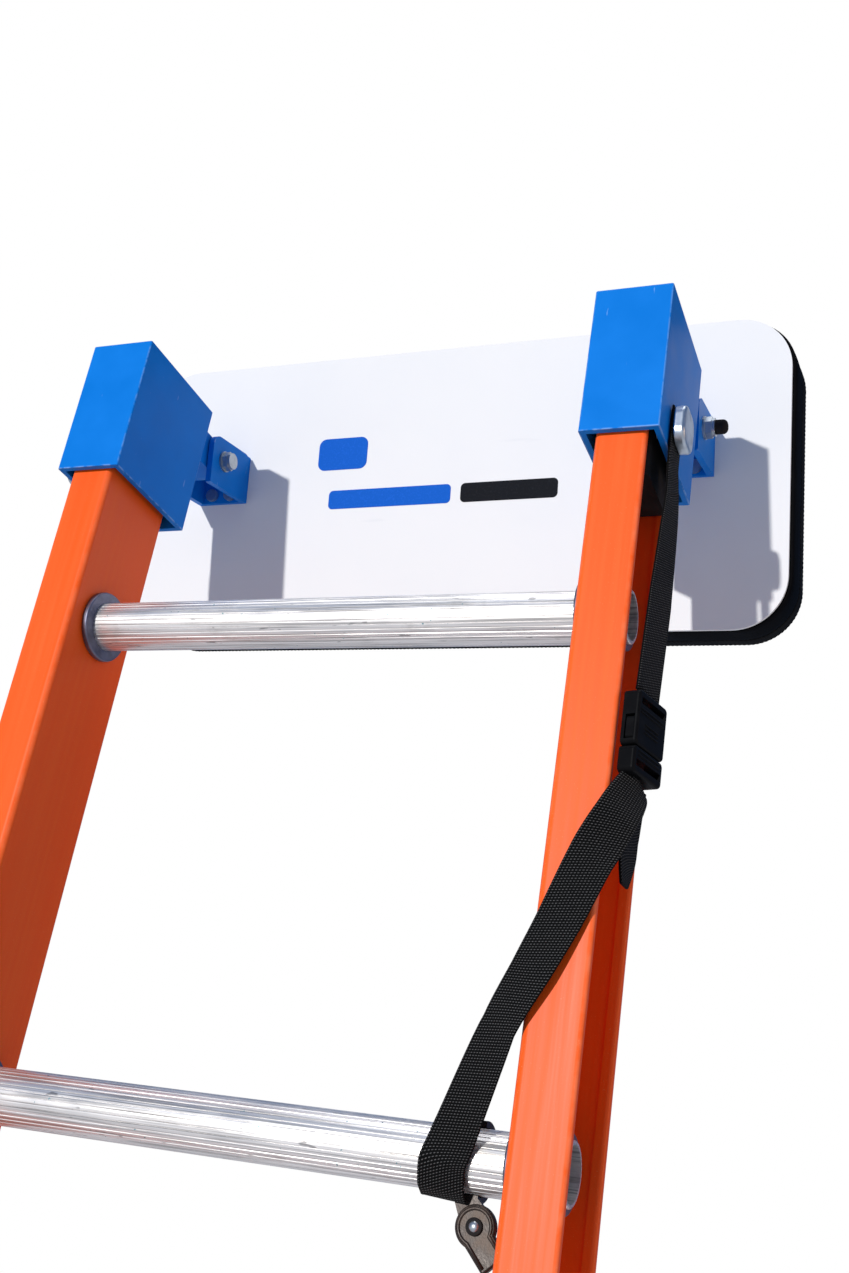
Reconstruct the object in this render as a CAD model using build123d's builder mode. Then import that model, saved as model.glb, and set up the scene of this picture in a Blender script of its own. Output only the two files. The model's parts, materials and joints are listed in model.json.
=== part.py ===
from build123d import *

import os
from math import cos, radians, sin

# Two-section fibreglass extension ladder with blue rail caps, a hinged wall pad and a safety strap.
# Millimetres. +Z runs up the rails, +X is the climber's right, +Y points away from the climber.
# The origin is on the floor, in the middle of the outline in plan.

os.makedirs("parts", exist_ok=True)

# ---- driving dimensions: ladder sections ----------------------------------------------------
RUNG_PITCH = 304.8
RUNG_COUNT = 8
SECTION_LENGTH = 2438.4
RAIL_DEPTH = 71.6
FLANGE = 31.5              # web's inner face to the flange tips
WALL = 4.2
LIP = 6.4                  # thickened bead at each flange tip
WEB_CORNER_R = 4.0
LIP_R = 2.6
FLY_INSIDE = 341.5         # between the fly section's webs
BASE_INSIDE = 380.0        # between the base section's webs
SECTION_GAP = 6.0          # fly's rear flange to base's front flange
RUNG_R = 16.13
RUNG_BORE_R = 13.93
RUNG_FIT = 0.1             # rung in its hole in the web
RUNG_STICKOUT = 20.0       # swaged rung end beyond the web's outer face
STEPS_EXTENDED = 3         # rungs that the fly is run up at rest

# ---- driving dimensions: feet ----------------------------------------------------------------
TREAD_T = 10.0
SHOE_T = 5.0
SHOE_LENGTH = 100.0
SHOE_PIVOT_Z = 64.0
SHOE_BOLT_R = 5.0
SHOE_GAP = 1.5
RAIL_FOOT_Z = 32.0
FIRST_RUNG_UP = 152.4      # first base rung above the base rail's foot

# ---- driving dimensions: rail caps and wall pad -----------------------------------------------
RAIL_END_UP = 198.0        # fly rail's end above the top rung
CAP_WIDTH = 49.0
CAP_DEPTH = 90.8
CAP_BOTTOM_UP = 102.8      # cap's open bottom above the top rung
CAP_TOP_UP = 206.2
CAP_FRONT = -41.6          # cap's front face from the rails' mid plane
CAP_WALL = 4.0
BOARD_WIDTH = 519.0
PAD_WIDTH = 525.0          # foam and rubber stand out past the board's ends
PAD_HEIGHT = 226.0
PAD_CORNER_R = 38.0
PAD_TILT = 13.0            # pad's lean from the rails at rest, degrees
BOARD_T = 3.0
FOAM_T = 33.0
RUBBER_T = 16.0
PIVOT_BACK = 84.0          # pivot bolt behind the rails' mid plane
PIVOT_UP = 184.0           # pivot bolt above the top rung
PIVOT_TO_BOARD = 38.7      # pivot bolt to the board's front face
PIVOT_ABOVE_PAD_MID = 18.2
PIVOT_BOLT_R = 4.0
LUG_T = 4.5
LUG_OUTSIDE = 21.0         # lug's outer face from the cap's centre
LUG_HEIGHT = 39.0
LUG_DROP = 2.0             # lug's middle below the pivot bolt
LUG_REACH = 56.0           # lug's front end from the board
KNOB_BACK = -9.0           # clamp knob from the rails' mid plane
KNOB_UP = 120.0

# ---- driving dimensions: strap and buckle ------------------------------------------------------
WEBBING_W = 25.4
WEBBING_T = 2.0
BUCKLE_W = 32.0
BUCKLE_T = 9.6
BUCKLE_HALF = 23.4         # half of the closed buckle's length
BUCKLE_JOINT = -8.0        # joint line between housing and insert, from the buckle's middle
BUCKLE_YAW = 15.0
FRONT_REACH = 44.15        # strap's foremost edge, in front of the rails' mid plane

# ---- where things stand ----------------------------------------------------------------------
TILT = radians(PAD_TILT)
PAD_UP = Vector(0, -sin(TILT), cos(TILT))
PAD_OUT = Vector(0, cos(TILT), sin(TILT))
PAD_T = BOARD_T + FOAM_T + RUBBER_T
PAD_BOTTOM_DOWN = PAD_HEIGHT / 2 + PIVOT_ABOVE_PAD_MID
REAR_REACH = PIVOT_BACK + (PIVOT_TO_BOARD + PAD_T) * cos(TILT) + PAD_BOTTOM_DOWN * sin(TILT)
FLY_Y = (FRONT_REACH - REAR_REACH) / 2
BASE_Y = FLY_Y + RAIL_DEPTH + SECTION_GAP
BASE_TOP_Z = RAIL_FOOT_Z + SECTION_LENGTH
BASE_RUNGS = [RAIL_FOOT_Z + FIRST_RUNG_UP + RUNG_PITCH * step for step in range(RUNG_COUNT)]
FLY_RUNGS = [z + RUNG_PITCH * STEPS_EXTENDED for z in BASE_RUNGS]
TOP_RUNG_Z = FLY_RUNGS[-1]
HOOK_RUNG_Z = FLY_RUNGS[-2]
FLY_TOP_Z = TOP_RUNG_Z + RAIL_END_UP
FLY_FOOT_Z = FLY_TOP_Z - SECTION_LENGTH
FLY_WEB = FLY_INSIDE / 2
BASE_WEB = BASE_INSIDE / 2
CAP_X = FLY_WEB + FLANGE / 2
PIVOT = Vector(0, FLY_Y + PIVOT_BACK, TOP_RUNG_Z + PIVOT_UP)
BOARD_FACE = PIVOT + PAD_OUT * PIVOT_TO_BOARD
PAD_MID = BOARD_FACE - PAD_UP * PIVOT_ABOVE_PAD_MID
SIDES = {"left": -1, "right": 1}


def keep(name, built):
    """Label a finished piece and write it as its own STEP file."""
    built.part.label = name
    export_step(built.part, f"parts/{name}.step")


def web_side(point):
    """Distance from the ladder's middle plane, for picking a rail's web or its flange tips."""
    return abs(point.X)


# ---- rails --------------------------------------------------------------------------------------
RIVET_R = 2.4
RIVET_HOLE_R = 2.5
RIVET_PITCH = 30.0
GUIDE_HEIGHT = 60.0
GUIDE_RIVETS_UP = [GUIDE_HEIGHT / 2 - RIVET_PITCH / 2, GUIDE_HEIGHT / 2 + RIVET_PITCH / 2]
BASE_GUIDE_Z = BASE_TOP_Z - GUIDE_HEIGHT
FLY_GUIDE_Z = FLY_FOOT_Z
BASE_GUIDE_RIVET_X = BASE_WEB + 21.4
FLY_GUIDE_RIVET_X = FLY_WEB + 17.5
LOCK_BRACKET_Z = FLY_RUNGS[0] + 30.0
LOCK_BRACKET_HEIGHT = 70.0
LOCK_RIVETS = [(FLY_Y + 8.0, LOCK_BRACKET_Z + 12.0), (FLY_Y + 8.0, LOCK_BRACKET_Z + 58.0)]
LOCK_WALL = 4.0


def make_rail(web_x, y_mid, z_foot, rungs, flange_y, flange_holes, web_holes, web_hole_r):
    """Right-hand channel rail: web inside, two flanges pointing outwards, a bead at each tip."""
    with BuildPart() as rail:
        with BuildSketch(Plane.XY.offset(z_foot)):
            with Locations((web_x + FLANGE / 2, y_mid)):
                Rectangle(FLANGE, RAIL_DEPTH)
            with Locations((web_x + WALL + FLANGE / 2, y_mid)):
                Rectangle(FLANGE, RAIL_DEPTH - 2 * WALL, mode=Mode.SUBTRACT)
            for end in (-1, 1):
                with Locations((web_x + FLANGE - LIP / 2, y_mid + end * (RAIL_DEPTH - LIP) / 2)):
                    Rectangle(LIP, LIP)
            fillet(vertices().group_by(web_side)[0], WEB_CORNER_R)
            fillet(vertices().group_by(web_side)[-1], LIP_R)
        extrude(amount=SECTION_LENGTH)
        with BuildSketch(Plane.YZ.offset(web_x - 1)):
            with Locations([(y_mid, z) for z in rungs]):
                Circle(RUNG_R + RUNG_FIT)
        extrude(amount=WALL + 2, mode=Mode.SUBTRACT)
        with BuildSketch(Plane.XZ.offset(-flange_y - LIP)):
            with Locations(flange_holes):
                Circle(RIVET_HOLE_R)
        extrude(amount=2 * LIP, mode=Mode.SUBTRACT)
        with BuildSketch(Plane.YZ.offset(web_x - 1)):
            with Locations(web_holes):
                Circle(web_hole_r)
        extrude(amount=WALL + 2, mode=Mode.SUBTRACT)
    return rail


def both_sides(stem, right):
    """Write a right-hand piece and its mirror image."""
    keep(f"{stem}_right", right)
    with BuildPart() as left:
        mirror(right.part, about=Plane.YZ)
    keep(f"{stem}_left", left)


FLY_REAR_FACE = FLY_Y + RAIL_DEPTH / 2
BASE_FRONT_FACE = BASE_Y - RAIL_DEPTH / 2

fly_rail = make_rail(
    FLY_WEB, FLY_Y, FLY_FOOT_Z, FLY_RUNGS, FLY_REAR_FACE,
    [(FLY_GUIDE_RIVET_X, FLY_GUIDE_Z + up) for up in GUIDE_RIVETS_UP],
    LOCK_RIVETS, RIVET_HOLE_R,
)
both_sides("fly_rail", fly_rail)

base_rail = make_rail(
    BASE_WEB, BASE_Y, RAIL_FOOT_Z, BASE_RUNGS, BASE_FRONT_FACE,
    [(BASE_GUIDE_RIVET_X, BASE_GUIDE_Z + up) for up in GUIDE_RIVETS_UP],
    [(BASE_Y, SHOE_PIVOT_Z)], SHOE_BOLT_R + RUNG_FIT,
)
both_sides("base_rail", base_rail)


# ---- rungs and their swaged collars ---------------------------------------------------------------
COLLAR_R = 23.5
COLLAR_T = 4.5
END_RING_R = 20.0
END_RING_T = 18.0


def make_rungs(web_x, y_mid, heights):
    """Hollow rungs through both webs."""
    length = 2 * (web_x + WALL + RUNG_STICKOUT)
    with BuildPart() as rungs:
        with BuildSketch(Plane.YZ.offset(-length / 2)):
            with Locations([(y_mid, z) for z in heights]):
                Circle(RUNG_R)
                Circle(RUNG_BORE_R, mode=Mode.SUBTRACT)
        extrude(amount=length)
    return rungs


def make_collars(web_x, y_mid, heights):
    """Flared beads against each web's inner face and swaged rings on its outer face."""
    places = [(y_mid, z) for z in heights]
    outer_face = web_x + WALL
    starts = [
        (web_x - COLLAR_T, COLLAR_R, COLLAR_T),
        (-web_x, COLLAR_R, COLLAR_T),
        (outer_face, END_RING_R, END_RING_T),
        (-outer_face - END_RING_T, END_RING_R, END_RING_T),
    ]
    with BuildPart() as collars:
        for x_start, radius, thickness in starts:
            with BuildSketch(Plane.YZ.offset(x_start)):
                with Locations(places):
                    Circle(radius)
                    Circle(RUNG_R + RUNG_FIT, mode=Mode.SUBTRACT)
            extrude(amount=thickness)
        fillet(collars.edges().filter_by(GeomType.CIRCLE).filter_by(
            lambda edge: edge.radius > RUNG_R + 1), 1.4)
    return collars


for number, height in enumerate(FLY_RUNGS, start=1):
    keep(f"fly_rung_{number}", make_rungs(FLY_WEB, FLY_Y, [height]))
keep("fly_collars", make_collars(FLY_WEB, FLY_Y, FLY_RUNGS))
keep("base_rungs", make_rungs(BASE_WEB, BASE_Y, BASE_RUNGS))
keep("base_collars", make_collars(BASE_WEB, BASE_Y, BASE_RUNGS))


# ---- guides that hold the two sections together -----------------------------------------------------
GUIDE_T = 3.5
GUIDE_SIDE_GAP = 2.0
GUIDE_HOOK_GAP = 1.3
GUIDE_HOOK_LENGTH = 18.0
FLY_TIP_X = FLY_WEB + FLANGE
BASE_TIP_X = BASE_WEB + FLANGE

with BuildPart() as base_guide:
    side_x = FLY_TIP_X + GUIDE_SIDE_GAP
    hook_y = FLY_REAR_FACE - LIP - GUIDE_HOOK_GAP
    with BuildSketch(Plane.XY.offset(BASE_GUIDE_Z)):
        with BuildLine():
            Polyline(
                (BASE_TIP_X, BASE_FRONT_FACE),
                (side_x, BASE_FRONT_FACE),
                (side_x, hook_y),
                (side_x - GUIDE_HOOK_LENGTH + GUIDE_T, hook_y),
                (side_x - GUIDE_HOOK_LENGTH + GUIDE_T, hook_y - GUIDE_T),
                (side_x + GUIDE_T, hook_y - GUIDE_T),
                (side_x + GUIDE_T, BASE_FRONT_FACE - GUIDE_T),
                (BASE_TIP_X, BASE_FRONT_FACE - GUIDE_T),
                close=True,
            )
        make_face()
    extrude(amount=GUIDE_HEIGHT)
    with BuildSketch(Plane.XZ.offset(-BASE_FRONT_FACE - 1)):
        with Locations([(BASE_GUIDE_RIVET_X, BASE_GUIDE_Z + up) for up in GUIDE_RIVETS_UP]):
            Circle(RIVET_HOLE_R)
    extrude(amount=GUIDE_T + 2, mode=Mode.SUBTRACT)
both_sides("base_guide", base_guide)

with BuildPart() as fly_guide:
    side_x = BASE_TIP_X + GUIDE_SIDE_GAP
    hook_y = BASE_FRONT_FACE + LIP + GUIDE_HOOK_GAP
    with BuildSketch(Plane.XY.offset(FLY_GUIDE_Z)):
        with BuildLine():
            Polyline(
                (FLY_WEB + 8, FLY_REAR_FACE),
                (side_x + GUIDE_T, FLY_REAR_FACE),
                (side_x + GUIDE_T, hook_y + GUIDE_T),
                (side_x - GUIDE_HOOK_LENGTH + GUIDE_T, hook_y + GUIDE_T),
                (side_x - GUIDE_HOOK_LENGTH + GUIDE_T, hook_y),
                (side_x, hook_y),
                (side_x, FLY_REAR_FACE + GUIDE_T),
                (FLY_WEB + 8, FLY_REAR_FACE + GUIDE_T),
                close=True,
            )
        make_face()
    extrude(amount=GUIDE_HEIGHT)
    with BuildSketch(Plane.XZ.offset(-FLY_REAR_FACE - GUIDE_T - 1)):
        with Locations([(FLY_GUIDE_RIVET_X, FLY_GUIDE_Z + up) for up in GUIDE_RIVETS_UP]):
            Circle(RIVET_HOLE_R)
    extrude(amount=GUIDE_T + 2, mode=Mode.SUBTRACT)
both_sides("fly_guide", fly_guide)

RIVET_HEAD_R = 3.6
RIVET_HEAD_T = 1.6


def make_rivets(face_plane, places, grip):
    """Rivets through a grip of metal that starts on face_plane, with a head at each end."""
    with BuildPart() as rivets:
        for start, radius, length in (
            (-RIVET_HEAD_T, RIVET_HEAD_R, RIVET_HEAD_T),
            (0, RIVET_R, grip),
            (grip, RIVET_HEAD_R, RIVET_HEAD_T),
        ):
            with BuildSketch(face_plane.offset(start)):
                with Locations(places):
                    Circle(radius)
            extrude(amount=length)
    return rivets


def guide_places(x, z_low):
    """Rivet places of both guides of a pair, on a plane whose local axes are X and Z."""
    return [(side * x, z_low + up) for side in SIDES.values() for up in GUIDE_RIVETS_UP]


BASE_RIVET_FACE = Plane.XZ.offset(-BASE_FRONT_FACE - WALL)
FLY_RIVET_FACE = Plane.XZ.offset(-FLY_REAR_FACE - GUIDE_T)
keep("base_rivets", make_rivets(
    BASE_RIVET_FACE, guide_places(BASE_GUIDE_RIVET_X, BASE_GUIDE_Z), WALL + GUIDE_T))

with BuildPart() as fly_rivets:
    add(make_rivets(
        FLY_RIVET_FACE, guide_places(FLY_GUIDE_RIVET_X, FLY_GUIDE_Z), WALL + GUIDE_T).part)
    for wall_x in (FLY_WEB - LOCK_WALL, -FLY_WEB - WALL):
        add(make_rivets(Plane.YZ.offset(wall_x), LOCK_RIVETS, LOCK_WALL + WALL).part)
keep("fly_rivets", fly_rivets)


# ---- rung locks at the foot of the fly section ---------------------------------------------------------
LOCK_OUT_X = FLY_WEB                  # bracket's riveted wall lies on the web
LOCK_WIDTH = 24.0
LOCK_FRONT = FLY_Y - 8.0
LOCK_REAR = FLY_Y + 34.0
LOCK_PIN_R = 4.0
LOCK_PIN = (FLY_Y + 24.0, LOCK_BRACKET_Z + 35.0)
LOCK_FIT = 0.08
LOCK_HOOK_T = 10.0
LOCK_HOOK_X = LOCK_OUT_X - LOCK_WIDTH / 2

with BuildPart() as lock_bracket:
    with BuildSketch(Plane.XY.offset(LOCK_BRACKET_Z)):
        with Locations((LOCK_OUT_X - LOCK_WIDTH / 2, (LOCK_FRONT + LOCK_REAR) / 2)):
            Rectangle(LOCK_WIDTH, LOCK_REAR - LOCK_FRONT)
        with Locations((LOCK_OUT_X - LOCK_WIDTH / 2, (LOCK_FRONT + LOCK_REAR) / 2 + LOCK_WALL)):
            Rectangle(LOCK_WIDTH - 2 * LOCK_WALL, LOCK_REAR - LOCK_FRONT, mode=Mode.SUBTRACT)
    extrude(amount=LOCK_BRACKET_HEIGHT)
    fillet(lock_bracket.edges().filter_by(Axis.X).group_by(Axis.Y)[-1], 10.0)
    with BuildSketch(Plane.YZ.offset(LOCK_OUT_X - LOCK_WIDTH - 1)):
        with Locations(LOCK_PIN):
            Circle(LOCK_PIN_R)
    extrude(amount=LOCK_WIDTH + 2, mode=Mode.SUBTRACT)
    with BuildSketch(Plane.YZ.offset(LOCK_OUT_X - LOCK_WALL - 1)):
        with Locations(LOCK_RIVETS):
            Circle(RIVET_HOLE_R)
    extrude(amount=LOCK_WALL + 2, mode=Mode.SUBTRACT)
both_sides("lock_bracket", lock_bracket)

# The hook stands up from its pin when it is raised, and swings down over a base rung.
HOOK_REACH = 55.0
HOOK_HEEL_R = 11.0
HOOK_ARM_W = 15.0
HOOK_BEAK = 10.0           # how far the hook's end stands out over a rung
HOOK_BEAK_H = 16.0
HOOK_MOUTH_R = RUNG_R * 0.6
HOOK_MOUTH = (2.0, 14.0)   # mouth's middle from the arm's end
with BuildPart() as lock_hook:
    with BuildSketch(Plane.YZ.offset(LOCK_HOOK_X - LOCK_HOOK_T / 2)):
        with Locations(LOCK_PIN):
            Circle(HOOK_HEEL_R)
        with Locations((LOCK_PIN[0], LOCK_PIN[1] + HOOK_REACH / 2)):
            Rectangle(HOOK_ARM_W, HOOK_REACH)
        with Locations((LOCK_PIN[0] - HOOK_BEAK / 2, LOCK_PIN[1] + HOOK_REACH)):
            Rectangle(HOOK_ARM_W + HOOK_BEAK, HOOK_BEAK_H)
        with Locations((LOCK_PIN[0] + HOOK_MOUTH[0], LOCK_PIN[1] + HOOK_REACH + HOOK_MOUTH[1])):
            Circle(HOOK_MOUTH_R, mode=Mode.SUBTRACT)
        with Locations(LOCK_PIN):
            Circle(LOCK_PIN_R + LOCK_FIT, mode=Mode.SUBTRACT)
    extrude(amount=LOCK_HOOK_T)
both_sides("lock_hook", lock_hook)

with BuildPart() as lock_pins:
    pin_length = LOCK_WIDTH + 3.0
    for side in SIDES.values():
        x_low = LOCK_OUT_X - LOCK_WIDTH - 3.0 if side > 0 else -LOCK_OUT_X
        with BuildSketch(Plane.YZ.offset(x_low)):
            with Locations(LOCK_PIN):
                Circle(LOCK_PIN_R)
        extrude(amount=pin_length)
keep("lock_pins", lock_pins)

SPRING_R = 6.2
SPRING_WIRE_R = 0.5
SPRING_TURNS = 2
with BuildPart() as lock_springs:
    for side in SIDES.values():
        x_low = LOCK_HOOK_X + LOCK_HOOK_T / 2 + 0.4
        for turn in range(SPRING_TURNS):
            centre_x = side * (x_low + SPRING_WIRE_R * (1 + 2 * turn))
            with BuildSketch(Plane.XZ.offset(-LOCK_PIN[0])):
                with Locations((centre_x, LOCK_PIN[1] + SPRING_R)):
                    Circle(SPRING_WIRE_R)
            revolve(axis=Axis((0, LOCK_PIN[0], LOCK_PIN[1]), (1, 0, 0)))
keep("lock_springs", lock_springs)

# ---- halyard pulley hung from the base section's top rung ------------------------------------------------
PULLEY_DROP = 62.0         # sheave's axle below the rung
PULLEY_Z = BASE_RUNGS[-1] - PULLEY_DROP
PULLEY_R = 28.0
PULLEY_GROOVE_R = 6.0
PULLEY_T = 16.0
PULLEY_PIN_R = 4.0
PULLEY_PLATE_T = 3.0
PULLEY_PLATE_W = 24.0
PULLEY_SIDE_GAP = 1.0
PULLEY_EYE_T = 4.0         # metal round the rung
PULLEY_HEAD_R = PULLEY_PIN_R + 2.0
PULLEY_HEAD_T = 4.0
PULLEY_ROOM = 7.0          # slot beyond the sheave, above and below

with BuildPart() as pulley_bracket:
    half_inside = PULLEY_T / 2 + PULLEY_SIDE_GAP
    half_out = half_inside + PULLEY_PLATE_T
    with BuildSketch(Plane.YZ.offset(-half_out)):
        with Locations((BASE_Y, BASE_RUNGS[-1])):
            Circle(RUNG_R + PULLEY_EYE_T)
        with Locations((BASE_Y, (BASE_RUNGS[-1] + PULLEY_Z) / 2)):
            Rectangle(PULLEY_PLATE_W, BASE_RUNGS[-1] - PULLEY_Z)
        with Locations((BASE_Y, PULLEY_Z)):
            Circle(PULLEY_PLATE_W / 2)
        with Locations((BASE_Y, BASE_RUNGS[-1])):
            Circle(RUNG_R + RUNG_FIT, mode=Mode.SUBTRACT)
    extrude(amount=2 * half_out)
    with BuildSketch(Plane.YZ.offset(-half_inside)):
        with Locations((BASE_Y, PULLEY_Z + 2)):
            Rectangle(4 * PULLEY_R, 2 * (PULLEY_R + PULLEY_ROOM))
    extrude(amount=2 * half_inside, mode=Mode.SUBTRACT)
    with BuildSketch(Plane.YZ.offset(-half_out)):
        with Locations((BASE_Y, PULLEY_Z)):
            Circle(PULLEY_PIN_R)
    extrude(amount=2 * half_out, mode=Mode.SUBTRACT)
keep("pulley_bracket", pulley_bracket)

with BuildPart() as pulley_sheave:
    with BuildSketch(Plane.YZ.offset(-PULLEY_T / 2)):
        with Locations((BASE_Y, PULLEY_Z)):
            Circle(PULLEY_R)
            Circle(PULLEY_PIN_R + LOCK_FIT, mode=Mode.SUBTRACT)
    extrude(amount=PULLEY_T)
    with BuildSketch(Plane.XZ.offset(-BASE_Y)):
        with Locations((0, PULLEY_Z + PULLEY_R)):
            Circle(PULLEY_GROOVE_R)
    revolve(axis=Axis((0, BASE_Y, PULLEY_Z), (1, 0, 0)), mode=Mode.SUBTRACT)
keep("pulley_sheave", pulley_sheave)

with BuildPart() as pulley_pin:
    with BuildSketch(Plane.YZ.offset(-half_out)):
        with Locations((BASE_Y, PULLEY_Z)):
            Circle(PULLEY_PIN_R)
    extrude(amount=2 * half_out)
    for low in (-half_out - PULLEY_HEAD_T, half_out):
        with BuildSketch(Plane.YZ.offset(low)):
            with Locations((BASE_Y, PULLEY_Z)):
                Circle(PULLEY_HEAD_R)
        extrude(amount=PULLEY_HEAD_T)
keep("pulley_pin", pulley_pin)


# ---- swivel shoes ------------------------------------------------------------------------------------
EAR_T = 4.0
EAR_R = 17.0
EAR_FOOT_HALF = 36.0
SHOE_OVERHANG = 4.0        # sole plate beyond the ears
TREAD_INSET = 1.0
EAR_IN_X = BASE_WEB - SHOE_GAP - EAR_T
EAR_OUT_X = BASE_TIP_X + SHOE_GAP
SHOE_LOW_X = EAR_IN_X - SHOE_OVERHANG
SHOE_HIGH_X = EAR_OUT_X + EAR_T + SHOE_OVERHANG
SHOE_X = (SHOE_LOW_X + SHOE_HIGH_X) / 2
SHOE_WIDTH = SHOE_HIGH_X - SHOE_LOW_X

with BuildPart() as shoe:
    with BuildSketch(Plane.XY.offset(TREAD_T)):
        with Locations((SHOE_X, BASE_Y)):
            RectangleRounded(SHOE_WIDTH, SHOE_LENGTH, 5)
    extrude(amount=SHOE_T)
    for ear_x in (EAR_IN_X, EAR_OUT_X):
        with BuildSketch(Plane.YZ.offset(ear_x)):
            with Locations((BASE_Y, SHOE_PIVOT_Z)):
                Circle(EAR_R)
            with BuildLine():
                Polyline(
                    (BASE_Y - EAR_FOOT_HALF, TREAD_T + SHOE_T),
                    (BASE_Y + EAR_FOOT_HALF, TREAD_T + SHOE_T),
                    (BASE_Y + EAR_R, SHOE_PIVOT_Z),
                    (BASE_Y - EAR_R, SHOE_PIVOT_Z),
                    close=True,
                )
            make_face()
            with Locations((BASE_Y, SHOE_PIVOT_Z)):
                Circle(SHOE_BOLT_R + LOCK_FIT, mode=Mode.SUBTRACT)
        extrude(amount=EAR_T)
both_sides("shoe", shoe)

TREAD_GROOVES = 9
TREAD_GROOVE_W = 3.0
TREAD_GROOVE_D = 3.0
with BuildPart() as shoe_tread:
    with BuildSketch(Plane.XY):
        with Locations((SHOE_X, BASE_Y)):
            RectangleRounded(SHOE_WIDTH - 2 * TREAD_INSET, SHOE_LENGTH - 2 * TREAD_INSET, 5)
    extrude(amount=TREAD_T)
    with BuildSketch(Plane.XY):
        with Locations((SHOE_X, BASE_Y)):
            with GridLocations(1, SHOE_LENGTH / (TREAD_GROOVES + 1), 1, TREAD_GROOVES):
                Rectangle(SHOE_WIDTH, TREAD_GROOVE_W)
    extrude(amount=TREAD_GROOVE_D, mode=Mode.SUBTRACT)
both_sides("shoe_tread", shoe_tread)

BOLT_HEAD_R = 8.5
BOLT_HEAD_T = 6.0
BOLT_CLEAR = 0.5
with BuildPart() as shoe_bolts:
    for side in SIDES.values():
        head_x = EAR_IN_X - BOLT_CLEAR - BOLT_HEAD_T
        nut_x = EAR_OUT_X + EAR_T + BOLT_CLEAR
        for x_start, length, hexagon in (
            (head_x, BOLT_HEAD_T, True),
            (EAR_IN_X - BOLT_CLEAR, nut_x - EAR_IN_X + BOLT_CLEAR, False),
            (nut_x, BOLT_HEAD_T, True),
        ):
            low = x_start if side > 0 else -x_start - length
            with BuildSketch(Plane.YZ.offset(low)):
                with Locations((BASE_Y, SHOE_PIVOT_Z)):
                    if hexagon:
                        RegularPolygon(BOLT_HEAD_R, 6)
                    else:
                        Circle(SHOE_BOLT_R)
            extrude(amount=length)
keep("shoe_bolts", shoe_bolts)


# ---- rail caps, clamp blocks and clamp knobs -----------------------------------------------------------
CAP_Y = FLY_Y + CAP_FRONT + CAP_DEPTH / 2
CAP_REAR_Y = FLY_Y + CAP_FRONT + CAP_DEPTH
CAP_BOTTOM_Z = TOP_RUNG_Z + CAP_BOTTOM_UP
CAP_HEIGHT = CAP_TOP_UP - CAP_BOTTOM_UP
CAP_SIDE_X = CAP_X + CAP_WIDTH / 2
KNOB_Y = FLY_Y + KNOB_BACK
KNOB_Z = TOP_RUNG_Z + KNOB_UP
STUD_R = 4.0
STUD_CLEAR = 0.4

with BuildPart() as cap:
    with BuildSketch(Plane.XY.offset(CAP_BOTTOM_Z)):
        with Locations((CAP_X, CAP_Y)):
            Rectangle(CAP_WIDTH, CAP_DEPTH)
    extrude(amount=CAP_HEIGHT)
    fillet(cap.edges().filter_by(Axis.Z), 1.2)
    fillet(cap.faces().sort_by(Axis.Z)[-1].edges(), 1.0)
    with BuildSketch(Plane.XY.offset(CAP_BOTTOM_Z)):
        with Locations((CAP_X, CAP_Y)):
            Rectangle(CAP_WIDTH - 2 * CAP_WALL, CAP_DEPTH - 2 * CAP_WALL)
    extrude(amount=CAP_HEIGHT - CAP_WALL, mode=Mode.SUBTRACT)
    with BuildSketch(Plane.YZ.offset(CAP_SIDE_X - CAP_WALL - 1)):
        with Locations((KNOB_Y, KNOB_Z)):
            Circle(STUD_R + STUD_CLEAR)
    extrude(amount=CAP_WALL + 2, mode=Mode.SUBTRACT)
both_sides("cap", cap)

TONGUE_HALF = LUG_OUTSIDE - LUG_T - 1.0
TONGUE_R = 13.0
with BuildPart() as cap_tongues:
    for side in SIDES.values():
        with BuildSketch(Plane.YZ.offset(side * CAP_X - TONGUE_HALF)):
            with Locations((PIVOT.Y, PIVOT.Z)):
                Circle(TONGUE_R)
            with Locations(((CAP_REAR_Y + PIVOT.Y) / 2, PIVOT.Z)):
                Rectangle(PIVOT.Y - CAP_REAR_Y, 2 * TONGUE_R)
            with Locations((PIVOT.Y, PIVOT.Z)):
                Circle(PIVOT_BOLT_R + LOCK_FIT, mode=Mode.SUBTRACT)
        extrude(amount=2 * TONGUE_HALF)
keep("cap_tongues", cap_tongues)

BLOCK_FRONT = -20.0
BLOCK_REAR = 29.0
BLOCK_LOW = 84.0
BLOCK_HIGH = 186.0
BLOCK_IN_X = FLY_WEB + WALL + 0.2
BLOCK_OUT_X = FLY_TIP_X - 1.0
with BuildPart() as clamp_blocks:
    for side in SIDES.values():
        with BuildSketch(Plane.XY.offset(TOP_RUNG_Z + BLOCK_LOW)):
            with Locations((side * (BLOCK_IN_X + BLOCK_OUT_X) / 2,
                            FLY_Y + (BLOCK_FRONT + BLOCK_REAR) / 2)):
                RectangleRounded(BLOCK_OUT_X - BLOCK_IN_X, BLOCK_REAR - BLOCK_FRONT, 3)
        extrude(amount=BLOCK_HIGH - BLOCK_LOW)
        low = BLOCK_IN_X - 1 if side > 0 else -BLOCK_OUT_X - 1
        with BuildSketch(Plane.YZ.offset(low)):
            with Locations((KNOB_Y, KNOB_Z)):
                Circle(STUD_R + STUD_CLEAR)
        extrude(amount=BLOCK_OUT_X - BLOCK_IN_X + 2, mode=Mode.SUBTRACT)
keep("clamp_blocks", clamp_blocks)

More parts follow.
